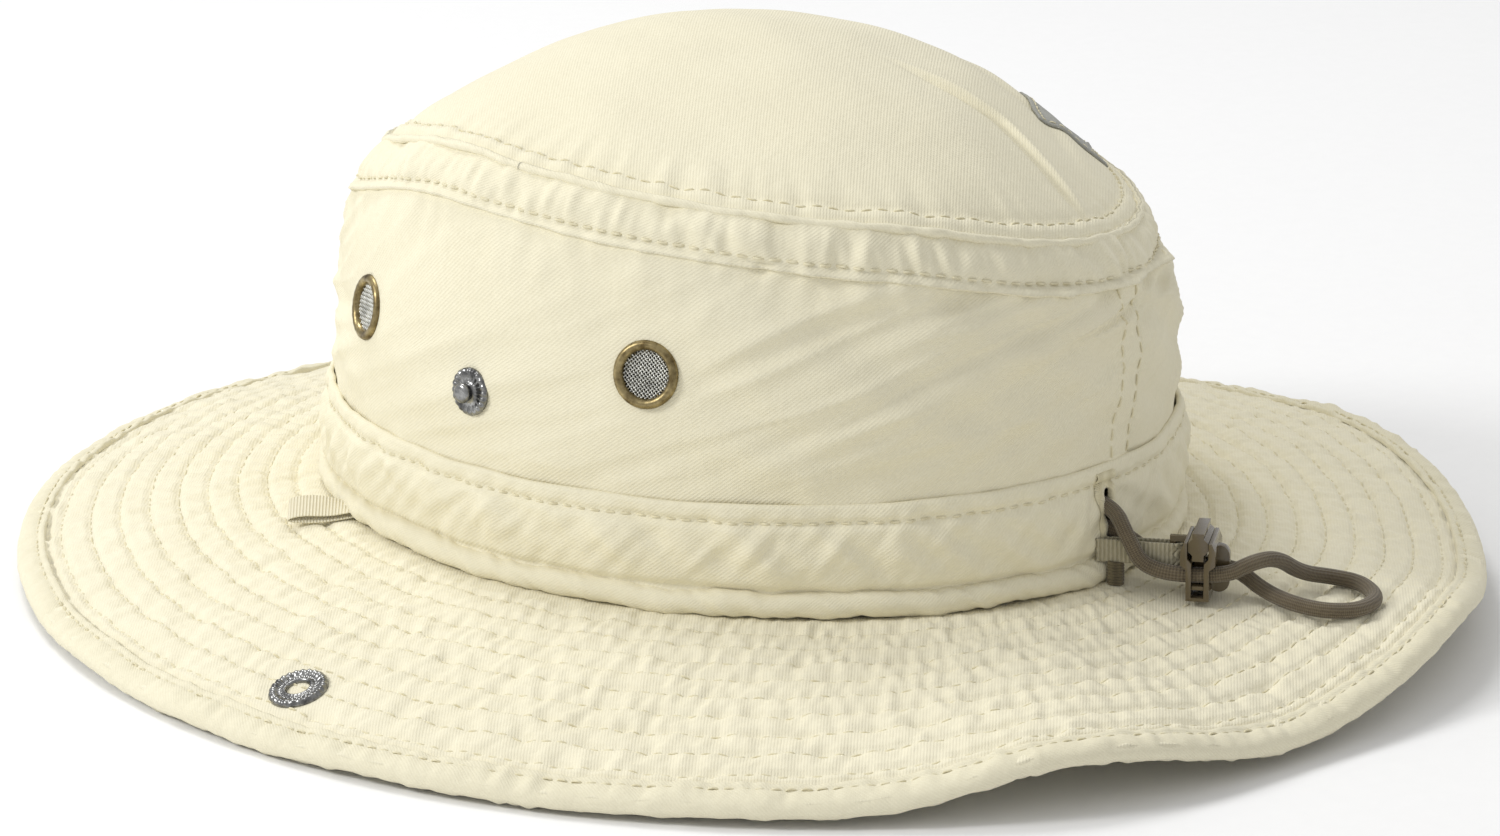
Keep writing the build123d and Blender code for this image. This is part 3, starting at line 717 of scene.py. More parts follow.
def make_binding():
    """The folded strip sewn over the rim, puckered by its stitching."""
    profile = ((-5.6, 1.0), (-5.5, 1.7), (-5.0, 2.05), (-4.2, 1.98), (-3.7, 1.72), (-3.2, 1.98), (-2.2, 2.1),
               (-1.2, 2.05), (-0.3, 1.8), (0.35, 1.3), (0.72, 0.65), (0.82, 0.0))
    whole = list(profile) + [(away, -height) for away, height in reversed(profile[:-1])]
    columns = 1440
    rows_points = []
    uvs = []
    travelled = 0.0
    for index, (away, height) in enumerate(whole):
        row = []
        if index:
            travelled += hypot(away - whole[index - 1][0], height - whole[index - 1][1])
        for column in range(columns):
            degrees = 360 * column / columns
            angle = radians(degrees)
            pucker = ring(angle, edge_round, 2.8, away / 5.0, 21)
            pucker += 0.7 * ring(angle, edge_round, 6.0, away / 9.0, 22)
            swell = 1 + 0.3 * pucker * smooth(0.9, 1.7, abs(height))
            wander = 0.2 * ring(angle, edge_round, 4.0, 0, 23)
            middle = brim_wave(degrees, brim_reach(degrees) + away + wander)
            row.append(middle + up * height * swell)
        rows_points.append(row)
        arcs = [radians(360 * column / columns) * edge_round for column in range(columns)]
        uvs.append([(arc * MM, travelled * MM) for arc in arcs])
    halves = split_halves("edge_binding", columns, rows_points, uvs, binding_cloth, bend_with_fold,
                          tau * edge_round)
    for piece, side in zip(halves, ("left", "right")):
        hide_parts(f"{side}_flap_binding")
    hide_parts("brim_binding")

    def on_binding(degrees, face):
        return brim_wave(degrees, brim_reach(degrees) - 3.7) + up * 1.72 * face

    sew_halves("binding_thread", on_binding, 2.2, 0.8)


# ---- Crown --------------------------------------------------------------------------------------


def lean(point, shift, share=1.0):
    return point + up * share * (lean_x * point.x + lean_y * (point.y - shift))


def side_point(angle, share):
    """The crown side at a share of its height."""
    belly = 4 * share * (1 - share)
    half = (mix(side_foot[0], side_top[0], share) + 3.5 * belly,
            mix(side_foot[1], side_top[1], share) + 0.5 * belly)
    shift = mix(side_shift, stitch_shift, share)
    height = mix(casing_top, stitch_height, share)
    return slump(lean(ellipse_point(half, angle, height, shift), stitch_shift, smooth(0.5, 1.0, share)))


def side_creases(angle, share):
    """Soft slanting folds of the crown side, flatter round the metal."""
    height = share * stitch_height
    rising = angle + height * 1.1 / 88
    falling = angle - height * 1.5 / 88
    broad = ring(rising, side_round, 19, height / 60, 31)
    broad += 0.8 * ring(falling, side_round, 13, height / 42, 32)
    fine = 1 - 2 * abs(ring(falling, side_round, 17, height / 30, 33)) ** 0.6
    gathers = ring(angle, side_round, 4.5, height / 16, 34) * smooth(0.7, 1.0, share)
    low_gathers = ring(angle, side_round, 6.0, height / 14, 35) * smooth(0.35, 0.0, share)
    calm = mix(0.15, 1.0, smooth(0.0, 0.25, share))
    for place in (0.0, pi):
        away = abs((angle - place + pi) % tau - pi) * 88
        calm = min(calm, 0.45 + 0.55 * smooth(44, 62, away))
    return calm * (1.9 * broad + 0.7 * fine) + 0.9 * gathers + 0.4 * low_gathers


def seam_x(height):
    """The centre back seam wanders a little off the middle."""
    return -5.5 - 5.5 * sin(pi * smooth(20, 84, height)) - 2.0 * smooth(50, 80, height)


def side_normal(angle):
    return Vector((cos(angle) / side_foot[0], sin(angle) / side_foot[1], 0)).normalized()


def seam_ridge(point):
    """The lapped seam: one side of the cloth lies over the other."""
    if point.y < 0:
        return 0.0
    away = point.x - seam_x(point.z)
    return 0.55 * smooth(-4.4, -3.8, away) * smooth(4.6, 1.2, away) - 0.35 * exp(-((away + 4.5) / 0.6) ** 2)


def snap_place(side, y, height, lift):
    """A frame on the crown side whose Z points out of the hat."""
    share = (height - casing_top) / (stitch_height - casing_top)
    belly = 4 * share * (1 - share)
    half = (mix(side_foot[0], side_top[0], share) + 3.5 * belly,
            mix(side_foot[1], side_top[1], share) + 0.5 * belly)
    shift = mix(side_shift, stitch_shift, share)
    across = (y - shift) / half[1]
    x = half[0] * sqrt(1 - across ** 2)
    slope = (-7.6 + 14.0 * (1 - 2 * share)) / (stitch_height - casing_top)
    normal = Vector((side * x / half[0] ** 2, across / half[1], 0)).normalized()
    normal = (normal - up * slope).normalized()
    right = Vector((0, 1, 0))
    right = (right - normal * right.dot(normal)).normalized()
    turn = Matrix((right, normal.cross(right), normal)).transposed().to_4x4()
    return Matrix.Translation(slump(Vector((side * x, y, height))) + normal * lift) @ turn


def eyelet_places():
    places = []
    for side, side_name in ((1, "left"), (-1, "right")):
        for y, end_name in ((snap_y - eyelet_spread, "front"), (snap_y + eyelet_spread, "rear")):
            places.append((f"{side_name}_{end_name}", snap_place(side, y, eyelet_height, 0.0)))
    return places


def make_crown_side():
    rows = 64
    columns = 720
    centres = [place.translation for name, place in eyelet_places()]

    def place_at(share, angle):
        point = side_point(angle, share)
        flat = min(smooth(eyelet_radius - 1.0, eyelet_radius + 7.0, (point - centre).length)
                   for centre in centres)
        push = side_creases(angle, max(share, 0)) * flat + seam_ridge(point)
        return point + side_normal(angle) * push, (angle * side_round, share * 47.5)

    shares = [mix(-0.05, 1.0, row / (rows - 1)) for row in range(rows)]
    points, uvs = round_grid(shares, columns, place_at)

    def at_eyelet(row, column):
        corner = points[row * columns + column]
        return any((corner - centre).length < eyelet_opening + 0.9 for centre in centres)

    faces = grid_faces(rows, columns, True, at_eyelet)
    piece = make_piece("crown_side_cloth", points, faces, crown_cloth, uvs, wrap=tau * side_round)
    settle(clean(thicken(piece, cloth)), "root", "crown_cloth", "crown_side")


def seam_line(offset, low, high):
    line = []
    for step in range(60):
        height = mix(low, high, step / 59)
        share = (height - casing_top) / (stitch_height - casing_top)
        x = seam_x(height) + offset
        angle = atan2(1.0, x / 95)
        for attempt in range(4):
            angle += (side_point(angle, share).x - x) / 85
        point = side_point(angle, share)
        push = side_creases(angle, share) + seam_ridge(point)
        line.append((point + side_normal(angle) * (push + 0.05), side_normal(angle)))
    return line


def band_point(angle, share, offset=0.0):
    """The upper band between its stitch line (0) and the tip seam (1)."""
    half = (mix(side_top[0], tip_seam[0], share) + offset, mix(side_top[1], tip_seam[1], share) + offset)
    shift = mix(stitch_shift, tip_shift, share)
    height = mix(stitch_height, tip_height, share)
    return slump(lean(ellipse_point(half, angle, height, shift), shift))


def band_puckers(angle, share):
    swell = 1.2 * sin(pi * share)
    folds = ring(angle + share * 0.03, band_round, 3.8, share * 1.1, 41)
    folds += 0.5 * ring(angle, band_round, 2.2, share * 1.6, 42)
    broad = ring(angle, band_round, 12, share, 43)
    return swell + 1.15 * folds * (0.55 + 0.45 * sin(pi * share)) + 0.8 * broad


def make_upper_band():
    rows = 22
    columns = 1080

    def place_at(share, angle):
        held = smooth(-0.14, 0.12, share)
        point = band_point(angle, share)
        push = band_puckers(angle, share) * held + seam_ridge(point) + 0.25 * (1 - held)
        if share < 0:
            push += 0.5 + side_creases(angle, 1.0)
        return point + side_normal(angle) * push, (angle * band_round, share * 10)

    def on_band(angle):
        lift = band_puckers(angle, 0.1) * 0.85 + 0.15
        return band_point(angle, 0.1) + side_normal(angle) * lift, side_normal(angle)

    shares = [mix(-0.14, 1.08, row / (rows - 1)) for row in range(rows)]
    points, uvs = round_grid(shares, columns, place_at)
    faces = grid_faces(rows, columns, True)
    piece = make_piece("upper_band_cloth", points, faces, crown_cloth, uvs, wrap=tau * band_round)
    thicken(clean(piece), cloth)
    settle(piece, "root", "crown_cloth", "crown_upper_band")
    sew_round("upper_band_thread", "crown_cloth", on_band, 2.4, 1.0)


def dome_point(angle, share):
    """The tip cloth: share 0 at its middle, 1 at the seam."""
    normal = Vector((-lean_x, -lean_y, 1)).normalized()
    across = (Vector((1, 0, lean_x))).normalized()
    along = normal.cross(across)
    ratio = sqrt(1 - (dome_depth / dome_half[2]) ** 2)
    rise = 0.92 * (dome_half[2] * sqrt(1 - (ratio * share) ** 2) - dome_depth)
    centre = Vector((0, tip_shift, tip_height))
    out = across * tip_seam[0] * share * cos(angle) + along * tip_seam[1] * share * sin(angle)
    return slump(centre + out + normal * rise)


tip_crease = ((-6.0, 32.0), (-14.0, 60.0), (-11.0, 77.0), (-8.0, 92.0))
tip_fold = ((-48.0, 20.0), (-42.0, 48.0), (-26.0, 74.0))


def away_from(line, x, y):
    """Signed distance from a bent line, and the share of the way along it."""
    best = (1e9, 0.0)
    spans = len(line) - 1
    for index in range(spans):
        start = Vector(line[index])
        step = Vector(line[index + 1]) - start
        share = min(max((Vector((x, y)) - start).dot(step) / step.length_squared, 0.0), 1.0)
        foot = start + step * share
        offset = Vector((x, y)) - foot
        side = 1 if step.x * offset.y - step.y * offset.x > 0 else -1
        if offset.length < abs(best[0]):
            best = (side * offset.length, (index + share) / spans)
    return best


def tip_relief(point, share):
    away, along = away_from(tip_crease, point.x, point.y)
    edge = 0.9 * exp(-((away - 1.6) / 1.5) ** 2) - 1.0 * exp(-((away + 0.9) / 1.3) ** 2)
    crease = edge * smooth(0, 0.25, along)
    away, along = away_from(tip_fold, point.x, point.y)
    edge = 0.6 * exp(-((away - 2.5) / 2.6) ** 2) - 0.6 * exp(-((away + 2.0) / 2.4) ** 2)
    crease += edge * sin(pi * along)
    soft = 1.5 * ripple(point.x / 36, point.y / 36, 51) + 0.5 * ripple(point.x / 13, point.y / 17, 52)
    angle = atan2(point.y - tip_shift, point.x)
    gathers = ring(angle, seam_round, 4.2, share * 6, 53) * smooth(0.8, 1.0, share)
    ridge = 0.8 * exp(-((share - 0.972) / 0.012) ** 2) - 0.5 * exp(-((share - 0.945) / 0.01) ** 2)
    return (soft + 1.3 * crease) * smooth(1.0, 0.86, share) + 0.9 * gathers + ridge


def make_tip():
    rows = 96
    columns = 720

    def place_at(share, angle):
        plain = dome_point(angle, min(share, 1.0))
        return plain + up * tip_relief(plain, share), (plain.x, plain.y)

    shares = [(row + 0.02) / (rows - 1) for row in range(rows)]
    points, uvs = round_grid(shares, columns, place_at)
    faces = grid_faces(rows, columns, True)
    faces.append(tuple(reversed(range(columns))))
    piece = clean(make_piece("tip_cloth", points, faces, crown_cloth, uvs))
    settle(thicken(piece, cloth), "root", "crown_cloth", "crown_tip")


def make_tip_seam():
    """The narrow rolled seam round the tip, uneven like a hand-guided seam."""
    path = []
    radii = []
    count = 1080
    for step in range(count):
        angle = tau * step / count
        out = 0.5 * ring(angle, seam_round, 6.0, 0, 61) + 0.3 * ring(angle, seam_round, 2.8, 0, 62)
        rise = 0.4 * ring(angle, seam_round, 8.0, 3, 63)
        path.append(band_point(angle, 1.0, out) + up * rise)
        radii.append(0.9 + 0.3 * ring(angle, seam_round, 5.0, 0, 64))
    piece = tube("tip_seam_roll", path, lambda index: radii[index], 14, crown_cloth, closed=True)
    settle(piece, "root", "crown_cloth")

    def on_tip(angle):
        plain = dome_point(angle, 0.955)
        return plain + up * (tip_relief(plain, 0.955) + 0.05), up

    sew_round("tip_seam_thread", "crown_cloth", on_tip)


def make_back_seam():
    for number, offset in enumerate((-3.2, 2.4)):
        piece = stitches(f"back_seam_thread_{number}", seam_line(offset, 24.5, 70.5), sewing_thread)
        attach(piece, "root")


# ---- Drawcord casing, piping and sweatband --------------------------------------------------------


def casing_point(angle, height):
    share = (height - piping_top) / (casing_top - piping_top)
    half = [mix(foot, head, share) for foot, head in zip(casing_foot, casing_head)]
    return ellipse_point(half, angle, height, side_shift * share)


def casing_creases(angle, height):
    """How far the casing stands out: creases, the cord's swell, and grooves at the two seams."""
    slant = ring(angle + 0.9 * height / casing_round, casing_round, 7.0, height / 12, 71)
    slant += 0.6 * ring(angle - 0.8 * height / casing_round, casing_round, 3.8, height / 8, 72)
    middle = sin(pi * min(max((height - piping_top) / (casing_top - piping_top), 0), 1))
    topstitch = 0.9 * exp(-((height - casing_stitch) / 0.9) ** 2)
    foot = 1.2 * exp(-((height - 5.6) / 1.2) ** 2)
    broad = ring(angle, casing_round, 20, height / 20, 73)
    return 1.0 * middle - topstitch - foot + 1.6 * slant * (0.25 + 0.75 * middle) + 0.9 * broad


def casing_wander(angle, height):
    return 0.55 * ring(angle, casing_round, 15, 1, 74) * smooth(casing_top - 5, casing_top, height)


def make_casing():
    """The turned-up band that holds the drawcord, with its folded lip and topstitching."""
    columns = 1080
    outline = [(piping_top - 2.0 + 0.55 * step, 0.0) for step in range(38)]
    outline += [(casing_top + 0.35, -0.35), (casing_top + 0.5, -0.9), (casing_top + 0.2, -1.4)]
    outline.append((casing_top - 3, -1.6))

    def place_at(level, angle):
        height, offset = outline[level]
        level_height = casing_top if offset else min(height, casing_top)
        push = casing_creases(angle, level_height) + offset + 0.55
        point = casing_point(angle, height) + side_normal(angle) * push
        return point + up * casing_wander(angle, height), (angle * casing_round, 0.55 * (level + 1))

    points, uvs = round_grid(range(len(outline)), columns, place_at)
    keyhole_low = keyhole_bottom + keyhole_width / 2
    keyhole_high = keyhole_top - keyhole_width / 2

    def at_keyhole(row, column):
        corner = points[row * columns + column]
        if corner.y < 0 or row > 36:
            return False
        height = min(max(corner.z, keyhole_low), keyhole_high)
        return hypot(corner.x, corner.z - height) < keyhole_width / 2 - 0.6

    def on_topstitch(angle):
        push = casing_creases(angle, casing_stitch) + 0.6
        here = casing_point(angle, casing_stitch) + side_normal(angle) * push
        return here + up * casing_wander(angle, casing_stitch), side_normal(angle)

    faces = grid_faces(len(outline), columns, True, at_keyhole)
    piece = clean(make_piece("drawcord_casing", points, faces, crown_cloth, uvs, wrap=tau * casing_round))
    settle(thicken(piece, 0.6), "root", "crown_cloth", "drawcord_band")
    sew_round("casing_thread", "crown_cloth", on_topstitch)


def buttonhole_point(share):
    """Place on the keyhole's outline, going once round it, and the direction away from its middle."""
    half = keyhole_width / 2
    straight = keyhole_top - keyhole_bottom - keyhole_width
    lengths = (straight, pi * half, straight, pi * half)
    total = sum(lengths)
    distance = share * total
    low = keyhole_bottom + half
    high = keyhole_top - half
    if distance < lengths[0]:
        return (half, low + distance), (1, 0)
    distance -= lengths[0]
    if distance < lengths[1]:
        turn = distance / half
        return (half * cos(turn), high + half * sin(turn)), (cos(turn), sin(turn))
    distance -= lengths[1]
    if distance < lengths[2]:
        return (-half, high - distance), (-1, 0)
    turn = pi + (distance - lengths[2]) / half
    return (half * cos(turn), low + half * sin(turn)), (cos(turn), sin(turn))


def on_casing(x, height, lift):
    angle = pi / 2 - x / casing_foot[0]
    return casing_point(angle, height) + side_normal(angle) * (casing_creases(angle, height) + 0.55 + lift)


def make_keyhole():
    """Dense buttonhole stitches round the slit, and a bar of stitches above it."""
    points = []
    faces = []
    count = 96
    strands = []
    for number in range(count):
        (x, height), (out_x, out_z) = buttonhole_point(number / count)
        inner = (x - out_x * 0.75, height - out_z * 0.75)
        outer = (x + out_x * 0.85, height + out_z * 0.85)
        strands.append([on_casing(*inner, -0.5), on_casing(*inner, 0.3), on_casing(x, height, 0.5),
                        on_casing(*outer, 0.3), on_casing(*outer, -0.4)])
    for number in range(14):
        x = mix(-2.6, 2.6, number / 13)
        strands.append([on_casing(x, keyhole_top + 0.6, -0.4), on_casing(x, keyhole_top + 0.7, 0.4),
                        on_casing(x, keyhole_top + 1.5, 0.6), on_casing(x, keyhole_top + 2.3, 0.4),
                        on_casing(x, keyhole_top + 2.4, -0.4)])
    sides = 5
    for path in strands:
        first = len(points)
        for index, centre in enumerate(path):
            along = (path[min(index + 1, 4)] - path[max(index - 1, 0)]).normalized()
            normal = Vector((0, 1, 0))
            normal = (normal - along * normal.dot(along)).normalized()
            side = along.cross(normal)
            for step in range(sides):
                turn = tau * step / sides
                points.append(centre + (normal * cos(turn) + side * sin(turn)) * 0.24)
        faces += strand_faces(first, len(path), sides)
    piece = clean(make_piece("keyhole_stitching", points, faces, sewing_thread))
    settle(piece, "root", "crown_cloth")


def make_piping():
    """The covered cord sewn into the base seam, its cloth pulled into small slanting folds."""
    columns = 1080
    outline = 18
    foot = [size - 0.7 for size in casing_foot]

    def place_at(turn, angle):
        fold = 0.5 * ring(angle + turn * 0.03, piping_round, 2.8, turn * 0.5, 81)
        fold += 0.5 * ring(angle, piping_round, 8, turn / 2, 82)
        radius = 2.7 + fold
        wander = 0.7 * ring(angle, piping_round, 16, 0, 83)
        middle = ellipse_point(foot, angle, piping_top / 2 + 0.1 + wander)
        point = middle + side_normal(angle) * (radius * cos(turn)) + up * radius * sin(turn)
        return point, (angle * piping_round, radius * turn)

    turns = [mix(-0.62 * pi, 0.62 * pi, row / (outline - 1)) for row in range(outline)]
    points, uvs = round_grid(turns, columns, place_at)
    faces = grid_faces(outline, columns, True)
    piece = make_piece("base_piping_roll", points, faces, binding_cloth, uvs, wrap=tau * piping_round)
    thicken(clean(piece), 0.5)
    settle(piece, "root", "binding", "base_piping")


def make_sweatband():
    """The soft band inside the opening, hemmed at the top."""
    low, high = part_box("sweatband")
    half = ((high[0] - low[0]) / 2 / MM, (high[1] - low[1]) / 2 / MM)

    def place_at(height, angle):
        wrinkle = 0.35 * ring(angle, sweatband_round, 11, height / 8, 91)
        wrinkle += 0.18 * ring(angle, sweatband_round, 4, height / 5, 92)
        hem = 0.35 * smooth(27.4, 28.0, height) - 0.3 * exp(-((height - 27.0) / 0.5) ** 2)
        size = [whole - 0.6 - hem - wrinkle for whole in half]
        return ellipse_point(size, angle, height), (angle * sweatband_round, height)

    def on_hem(angle):
        return ellipse_point([whole - 1.7 for whole in half], angle, 28.8), side_normal(angle) * -1

    columns = 540
    heights = [mix(low[2] / MM, high[2] / MM, step / 40) for step in range(41)]
    points, uvs = round_grid(heights, columns, place_at)
    faces = grid_faces(len(heights), columns, True)
    piece = make_piece("sweatband_cloth", points, faces, sweatband_cloth, uvs, wrap=tau * sweatband_round)
    thicken(clean(piece), cloth)
    settle(piece, "root", "sweatband", "sweatband")
    sew_round("sweatband_thread", "sweatband", on_hem, stitch_length, stitch_gap, columns)


# ---- Metal --------------------------------------------------------------------------------------


def make_eyelets():
    """Each eyelet: a rolled brass ring, a woven wire screen and a washer behind."""
    ring_outline = ((4.95, -1.4), (4.9, -0.2), (5.0, 0.35), (5.35, 0.8), (5.9, 1.02), (6.4, 0.92),
                    (6.8, 0.6), (7.0, 0.15), (7.0, -0.1), (6.0, -0.2), (5.6, -1.4), (4.95, -1.4))
    washer = ((5.2, -1.7), (5.2, -1.25), (6.3, -1.2), (6.9, -1.3), (6.9, -1.7), (5.2, -1.7))
    for name, place in eyelet_places():
        rim = lathe(f"{name}_eyelet_rim", place, ring_outline, eyelet_brass, 72,
                    lambda angle, radius, height: 0.03 * sin(23 * angle) if height > 0 else 0.0)
        back = lathe(f"{name}_eyelet_back", place, washer, eyelet_brass, 72)
        screen = wire_screen(f"{name}_eyelet_screen", place)
        settle(rim, "root", "eyelet_brass", f"{name}_eyelet_ring")
        settle(back, "root", "eyelet_brass", f"{name}_eyelet_washer")
        settle(screen, "root", "eyelet_mesh", f"{name}_eyelet_mesh")


def wire_screen(name, place):
    """Plain-woven round wires that pass over and under each other inside the eyelet."""
    pitch = 0.62
    radius = 0.17
    points = []
    faces = []
    sides = 6
    for direction in (0, 1):
        for number in range(-7, 8):
            offset = number * pitch
            half = sqrt(max(5.05 ** 2 - offset ** 2, 0))
            steps = max(int(half * 2 / 0.2), 4)
            first = len(points)
            for index in range(steps + 1):
                along = mix(-half, half, index / steps)
                weave = cos(pi * along / pitch) * (1 if (number + direction) % 2 else -1)
                height = -0.35 + 0.16 * weave
                turned = Matrix.Rotation(radians(45 + 90 * direction), 4, "Z")
                for step in range(sides):
                    turn = tau * step / sides
                    local = Vector((along, offset + radius * cos(turn), height + radius * sin(turn)))
                    points.append(place @ (turned @ local))
            faces += strand_faces(first, steps + 1, sides)
    return clean(make_piece(name, points, faces, mesh_steel))


def make_snaps():
    """Studs on the crown; sockets and caps on the brim's fold-up sides."""
    flange = ((0.0, -0.2), (4.4, -0.2), (5.0, 0.1), (5.0, 0.55), (4.6, 0.95), (3.9, 1.05), (3.2, 0.8),
              (2.6, 0.75), (1.75, 1.0), (1.6, 1.5), (1.75, 2.0), (2.1, 2.5), (2.05, 3.0), (1.6, 3.35),
              (0.9, 3.45), (0.0, 3.45))
    socket = ((0.0, 0.15), (2.3, 0.15), (2.45, 0.3), (2.4, 1.1), (2.6, 1.5), (3.0, 1.6), (3.4, 1.25),
              (4.1, 1.2), (4.6, 1.55), (5.1, 1.85), (5.7, 1.75), (6.1, 1.3), (6.3, 0.7), (6.3, 0.0),
              (0.0, 0.0))
    cap = ((0.0, -1.6), (2.5, -1.55), (4.6, -1.35), (5.8, -0.95), (6.2, -0.4), (6.2, 0.0), (0.0, 0.0))
    for side, name in ((1, "left"), (-1, "right")):
        stud_place = snap_place(side, snap_y, stud_height, 0.15)
        stud = lathe(f"{name}_snap_bulb", stud_place, flange, snap_metal, 96, serration)
        settle(stud, "root", "snap_metal", f"{name}_snap_stud", f"{name}_snap_post")
        middle = box_middle(f"{name}_snap_socket")
        degrees = 0.5 if side > 0 else 179.5
        reach = abs(middle.x) - opening[0]
        slope = (brim_level(degrees, reach + 1) - brim_level(degrees, reach - 1)) / 2
        normal = Vector((-side * slope, 0, 1)).normalized()
        right = Vector((0, 1, 0))
        turn = Matrix((right, normal.cross(right), normal)).transposed().to_4x4()
        place = Matrix.Translation(middle - normal * 0.95) @ turn
        front = lathe(f"{name}_snap_ring", place, socket, snap_metal, 96, ridges)
        settle(front, f"{name}_flap", "snap_metal", f"{name}_snap_socket")
        place = Matrix.Translation(box_middle(f"{name}_snap_cap") + normal * 0.5) @ turn
        button = lathe(f"{name}_snap_button", place, cap, snap_metal, 96)
        settle(button, f"{name}_flap", "snap_metal", f"{name}_snap_cap")


def box_middle(node):
    low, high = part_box(node)
    return Vector([(a + b) / 2 / MM for a, b in zip(low, high)])


def serration(angle, radius, height):
    return 0.14 * sin(20 * angle) if 3.0 < radius < 5.1 and height > 0.3 else 0.0


def ridges(angle, radius, height):
    return 0.16 * sin(24 * angle) if 3.2 < radius < 6.2 and height > 1.0 else 0.0


# ---- Cord, tether and lock --------------------------------------------------------------------------


def make_cord():
    line = bpy.data.curves.new("neck_cord", "CURVE")
    line.dimensions = "3D"
    line.bevel_depth = cord_diameter / 2 * MM
    line.bevel_resolution = 8
    line.use_fill_caps = True
    line.resolution_u = 24
    spline = line.splines.new("NURBS")
    spline.points.add(len(cord_route) - 1)
    for point, place in zip(spline.points, cord_route):
        point.co = (place[0] * MM, place[1] * MM, place[2] * MM, 1)
    spline.order_u = 3
    spline.use_endpoint_u = True
    line.materials.append(elastic_braid)
    piece = bpy.data.objects.new("neck_cord", line)
    bpy.context.scene.collection.objects.link(piece)
    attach(piece, "root")
    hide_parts("cord_loop", "drawcord")


def lock_point(along, across, height):
    return lock_centre + lock_along * along + lock_across * across + up * height


def rounded(node, name, material, width):
    """A smooth-edged copy of a hard CAD part."""
    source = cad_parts[node]
    mesh = source.data.copy()
    work = bmesh.new()
    work.from_mesh(mesh)
    bmesh.ops.remove_doubles(work, verts=work.verts, dist=1e-6)
    bmesh.ops.dissolve_limit(work, angle_limit=radians(3), verts=work.verts, edges=work.edges)
    work.to_mesh(mesh)
    work.free()
    mesh.materials.clear()
    mesh.materials.append(material)
    mesh.polygons.foreach_set("use_smooth", [True] * len(mesh.polygons))
    piece = bpy.data.objects.new(name, mesh)
    bpy.context.scene.collection.objects.link(piece)
    bevel = piece.modifiers.new("edges", "BEVEL")
    bevel.width = width * MM
    bevel.segments = 3
    bevel.limit_method = "ANGLE"
    bevel.angle_limit = radians(32)
    bevel.harden_normals = True
    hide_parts(node)
    return piece


def make_lock():
    body = rounded("lock_body", "lock_housing", lock_plastic, 0.3)
    settle(body, "cord_lock", "lock_plastic")
    plunger = rounded("lock_plunger", "lock_press", lock_plastic, 0.3)
    settle(plunger, "lock_button", "lock_plastic")
    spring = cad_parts["lock_spring"]
    spring.data.materials.clear()
    spring.data.materials.append(spring_steel)


def make_tape():
    """The flat braided tape: out from the hat, through the lock's eye and back, standing on its edge."""
    outline = [(-21.6, 0.55), (-19.0, 0.6), (-14.5, 0.75), (-11.0, 1.0), (-8.0, 1.05), (-5.6, 0.95)]
    path = list(outline)
    for step in range(1, 8):
        turn = pi / 2 - pi * step / 8
        path.append((-5.0 + 0.9 * cos(turn), 0.9 * sin(turn)))
    path += [(along, -across) for along, across in reversed(outline)]
    fine = []
    for index in range(len(path) - 1):
        for step in range(6):
            fine.append((mix(path[index][0], path[index + 1][0], step / 6),
                         mix(path[index][1], path[index + 1][1], step / 6)))
    fine.append(path[-1])
    rows = 22
    points = []
    uvs = []
    travelled = 0.0
    for index, (along, across) in enumerate(fine):
        before = fine[max(index - 1, 0)]
        after = fine[min(index + 1, len(fine) - 1)]
        step = Vector((after[0] - before[0], after[1] - before[1])).normalized()
        travelled += hypot(along - before[0], across - before[1])
        for row in range(rows):
            share = row / (rows - 1)
            height = mix(5.3, 10.1, share) - lock_centre.z
            herring = abs((share * 4) % 2 - 1)
            rib = 0.13 * sin(tau * (travelled / 1.15 + herring * 0.9))
            points.append(lock_point(along - step.y * rib, across + step.x * rib, height))
            uvs.append((travelled * MM, height * MM))
    piece = clean(make_piece("braided_tape", points, grid_faces(len(fine), rows, False), tape_braid, uvs))
    thicken(piece, 0.45)
    piece.modifiers["thickness"].offset = 1
    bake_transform(piece)
    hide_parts("tether_strap", "tether_fold")


def make_whipping():
    """Turns of waxed thread that bind the tape's foot to the brim."""
    path = []
    turns = 8
    steps = turns * 28
    for index in range(steps + 1):
        turn = tau * index / 28
        height = mix(0.5, 5.6, index / steps) - lock_centre.z
        path.append(lock_point(-17.6 + 1.45 * cos(turn), 1.6 * sin(turn), height))
    piece = tube("foot_whipping", path, lambda index: 0.4, 8, whipping_thread)
    settle(piece, "root", "tether_braid", "tether_whipping")


# ---- Ribbon tab and blank label -----------------------------------------------------------------


def make_ribbon():
    """A short folded ribbon caught in the base seam."""
    degrees = -27.5
    heading = radians(-47.4)
    foot = ellipse_point(opening, radians(degrees), 0)
    along = Vector((cos(heading), sin(heading), 0))
    across = Vector((-sin(heading), cos(heading), 0))
    path = [(-2.5, 1.5), (0, 1.5), (3, 1.55), (6, 1.75), (9, 1.9), (11.5, 1.75), (13.2, 1.35),
            (13.7, 0.95), (13.2, 0.6), (11, 0.45), (7, 0.4), (3, 0.4), (-2.5, 0.4)]
    points = []
    uvs = []
    travelled = 0.0
    columns = 13
    for index, (out, height) in enumerate(path):
        travelled += hypot(out - path[index - 1][0], height - path[index - 1][1]) if index else 0.0
        for column in range(columns):
            side = mix(-3.0, 3.0, column / (columns - 1))
            curl = 0.12 * (side / 3) ** 2 - 0.5 * side * smooth(-2, 6, out)
            points.append(foot + along * out + across * side * 0.9 + up * (height * 1.3 + 0.8 + curl))
            uvs.append((travelled * MM, side * MM))
    faces = grid_faces(len(path), columns, False)
    piece = clean(make_piece("folded_ribbon", points, faces, ribbon_cloth, uvs))
    thicken(piece, 0.35)
    subdivide = piece.modifiers.new("smooth", "SUBSURF")
    subdivide.levels = 2
    subdivide.render_levels = 2
    settle(piece, "root", "ribbon", "side_ribbon_tab")


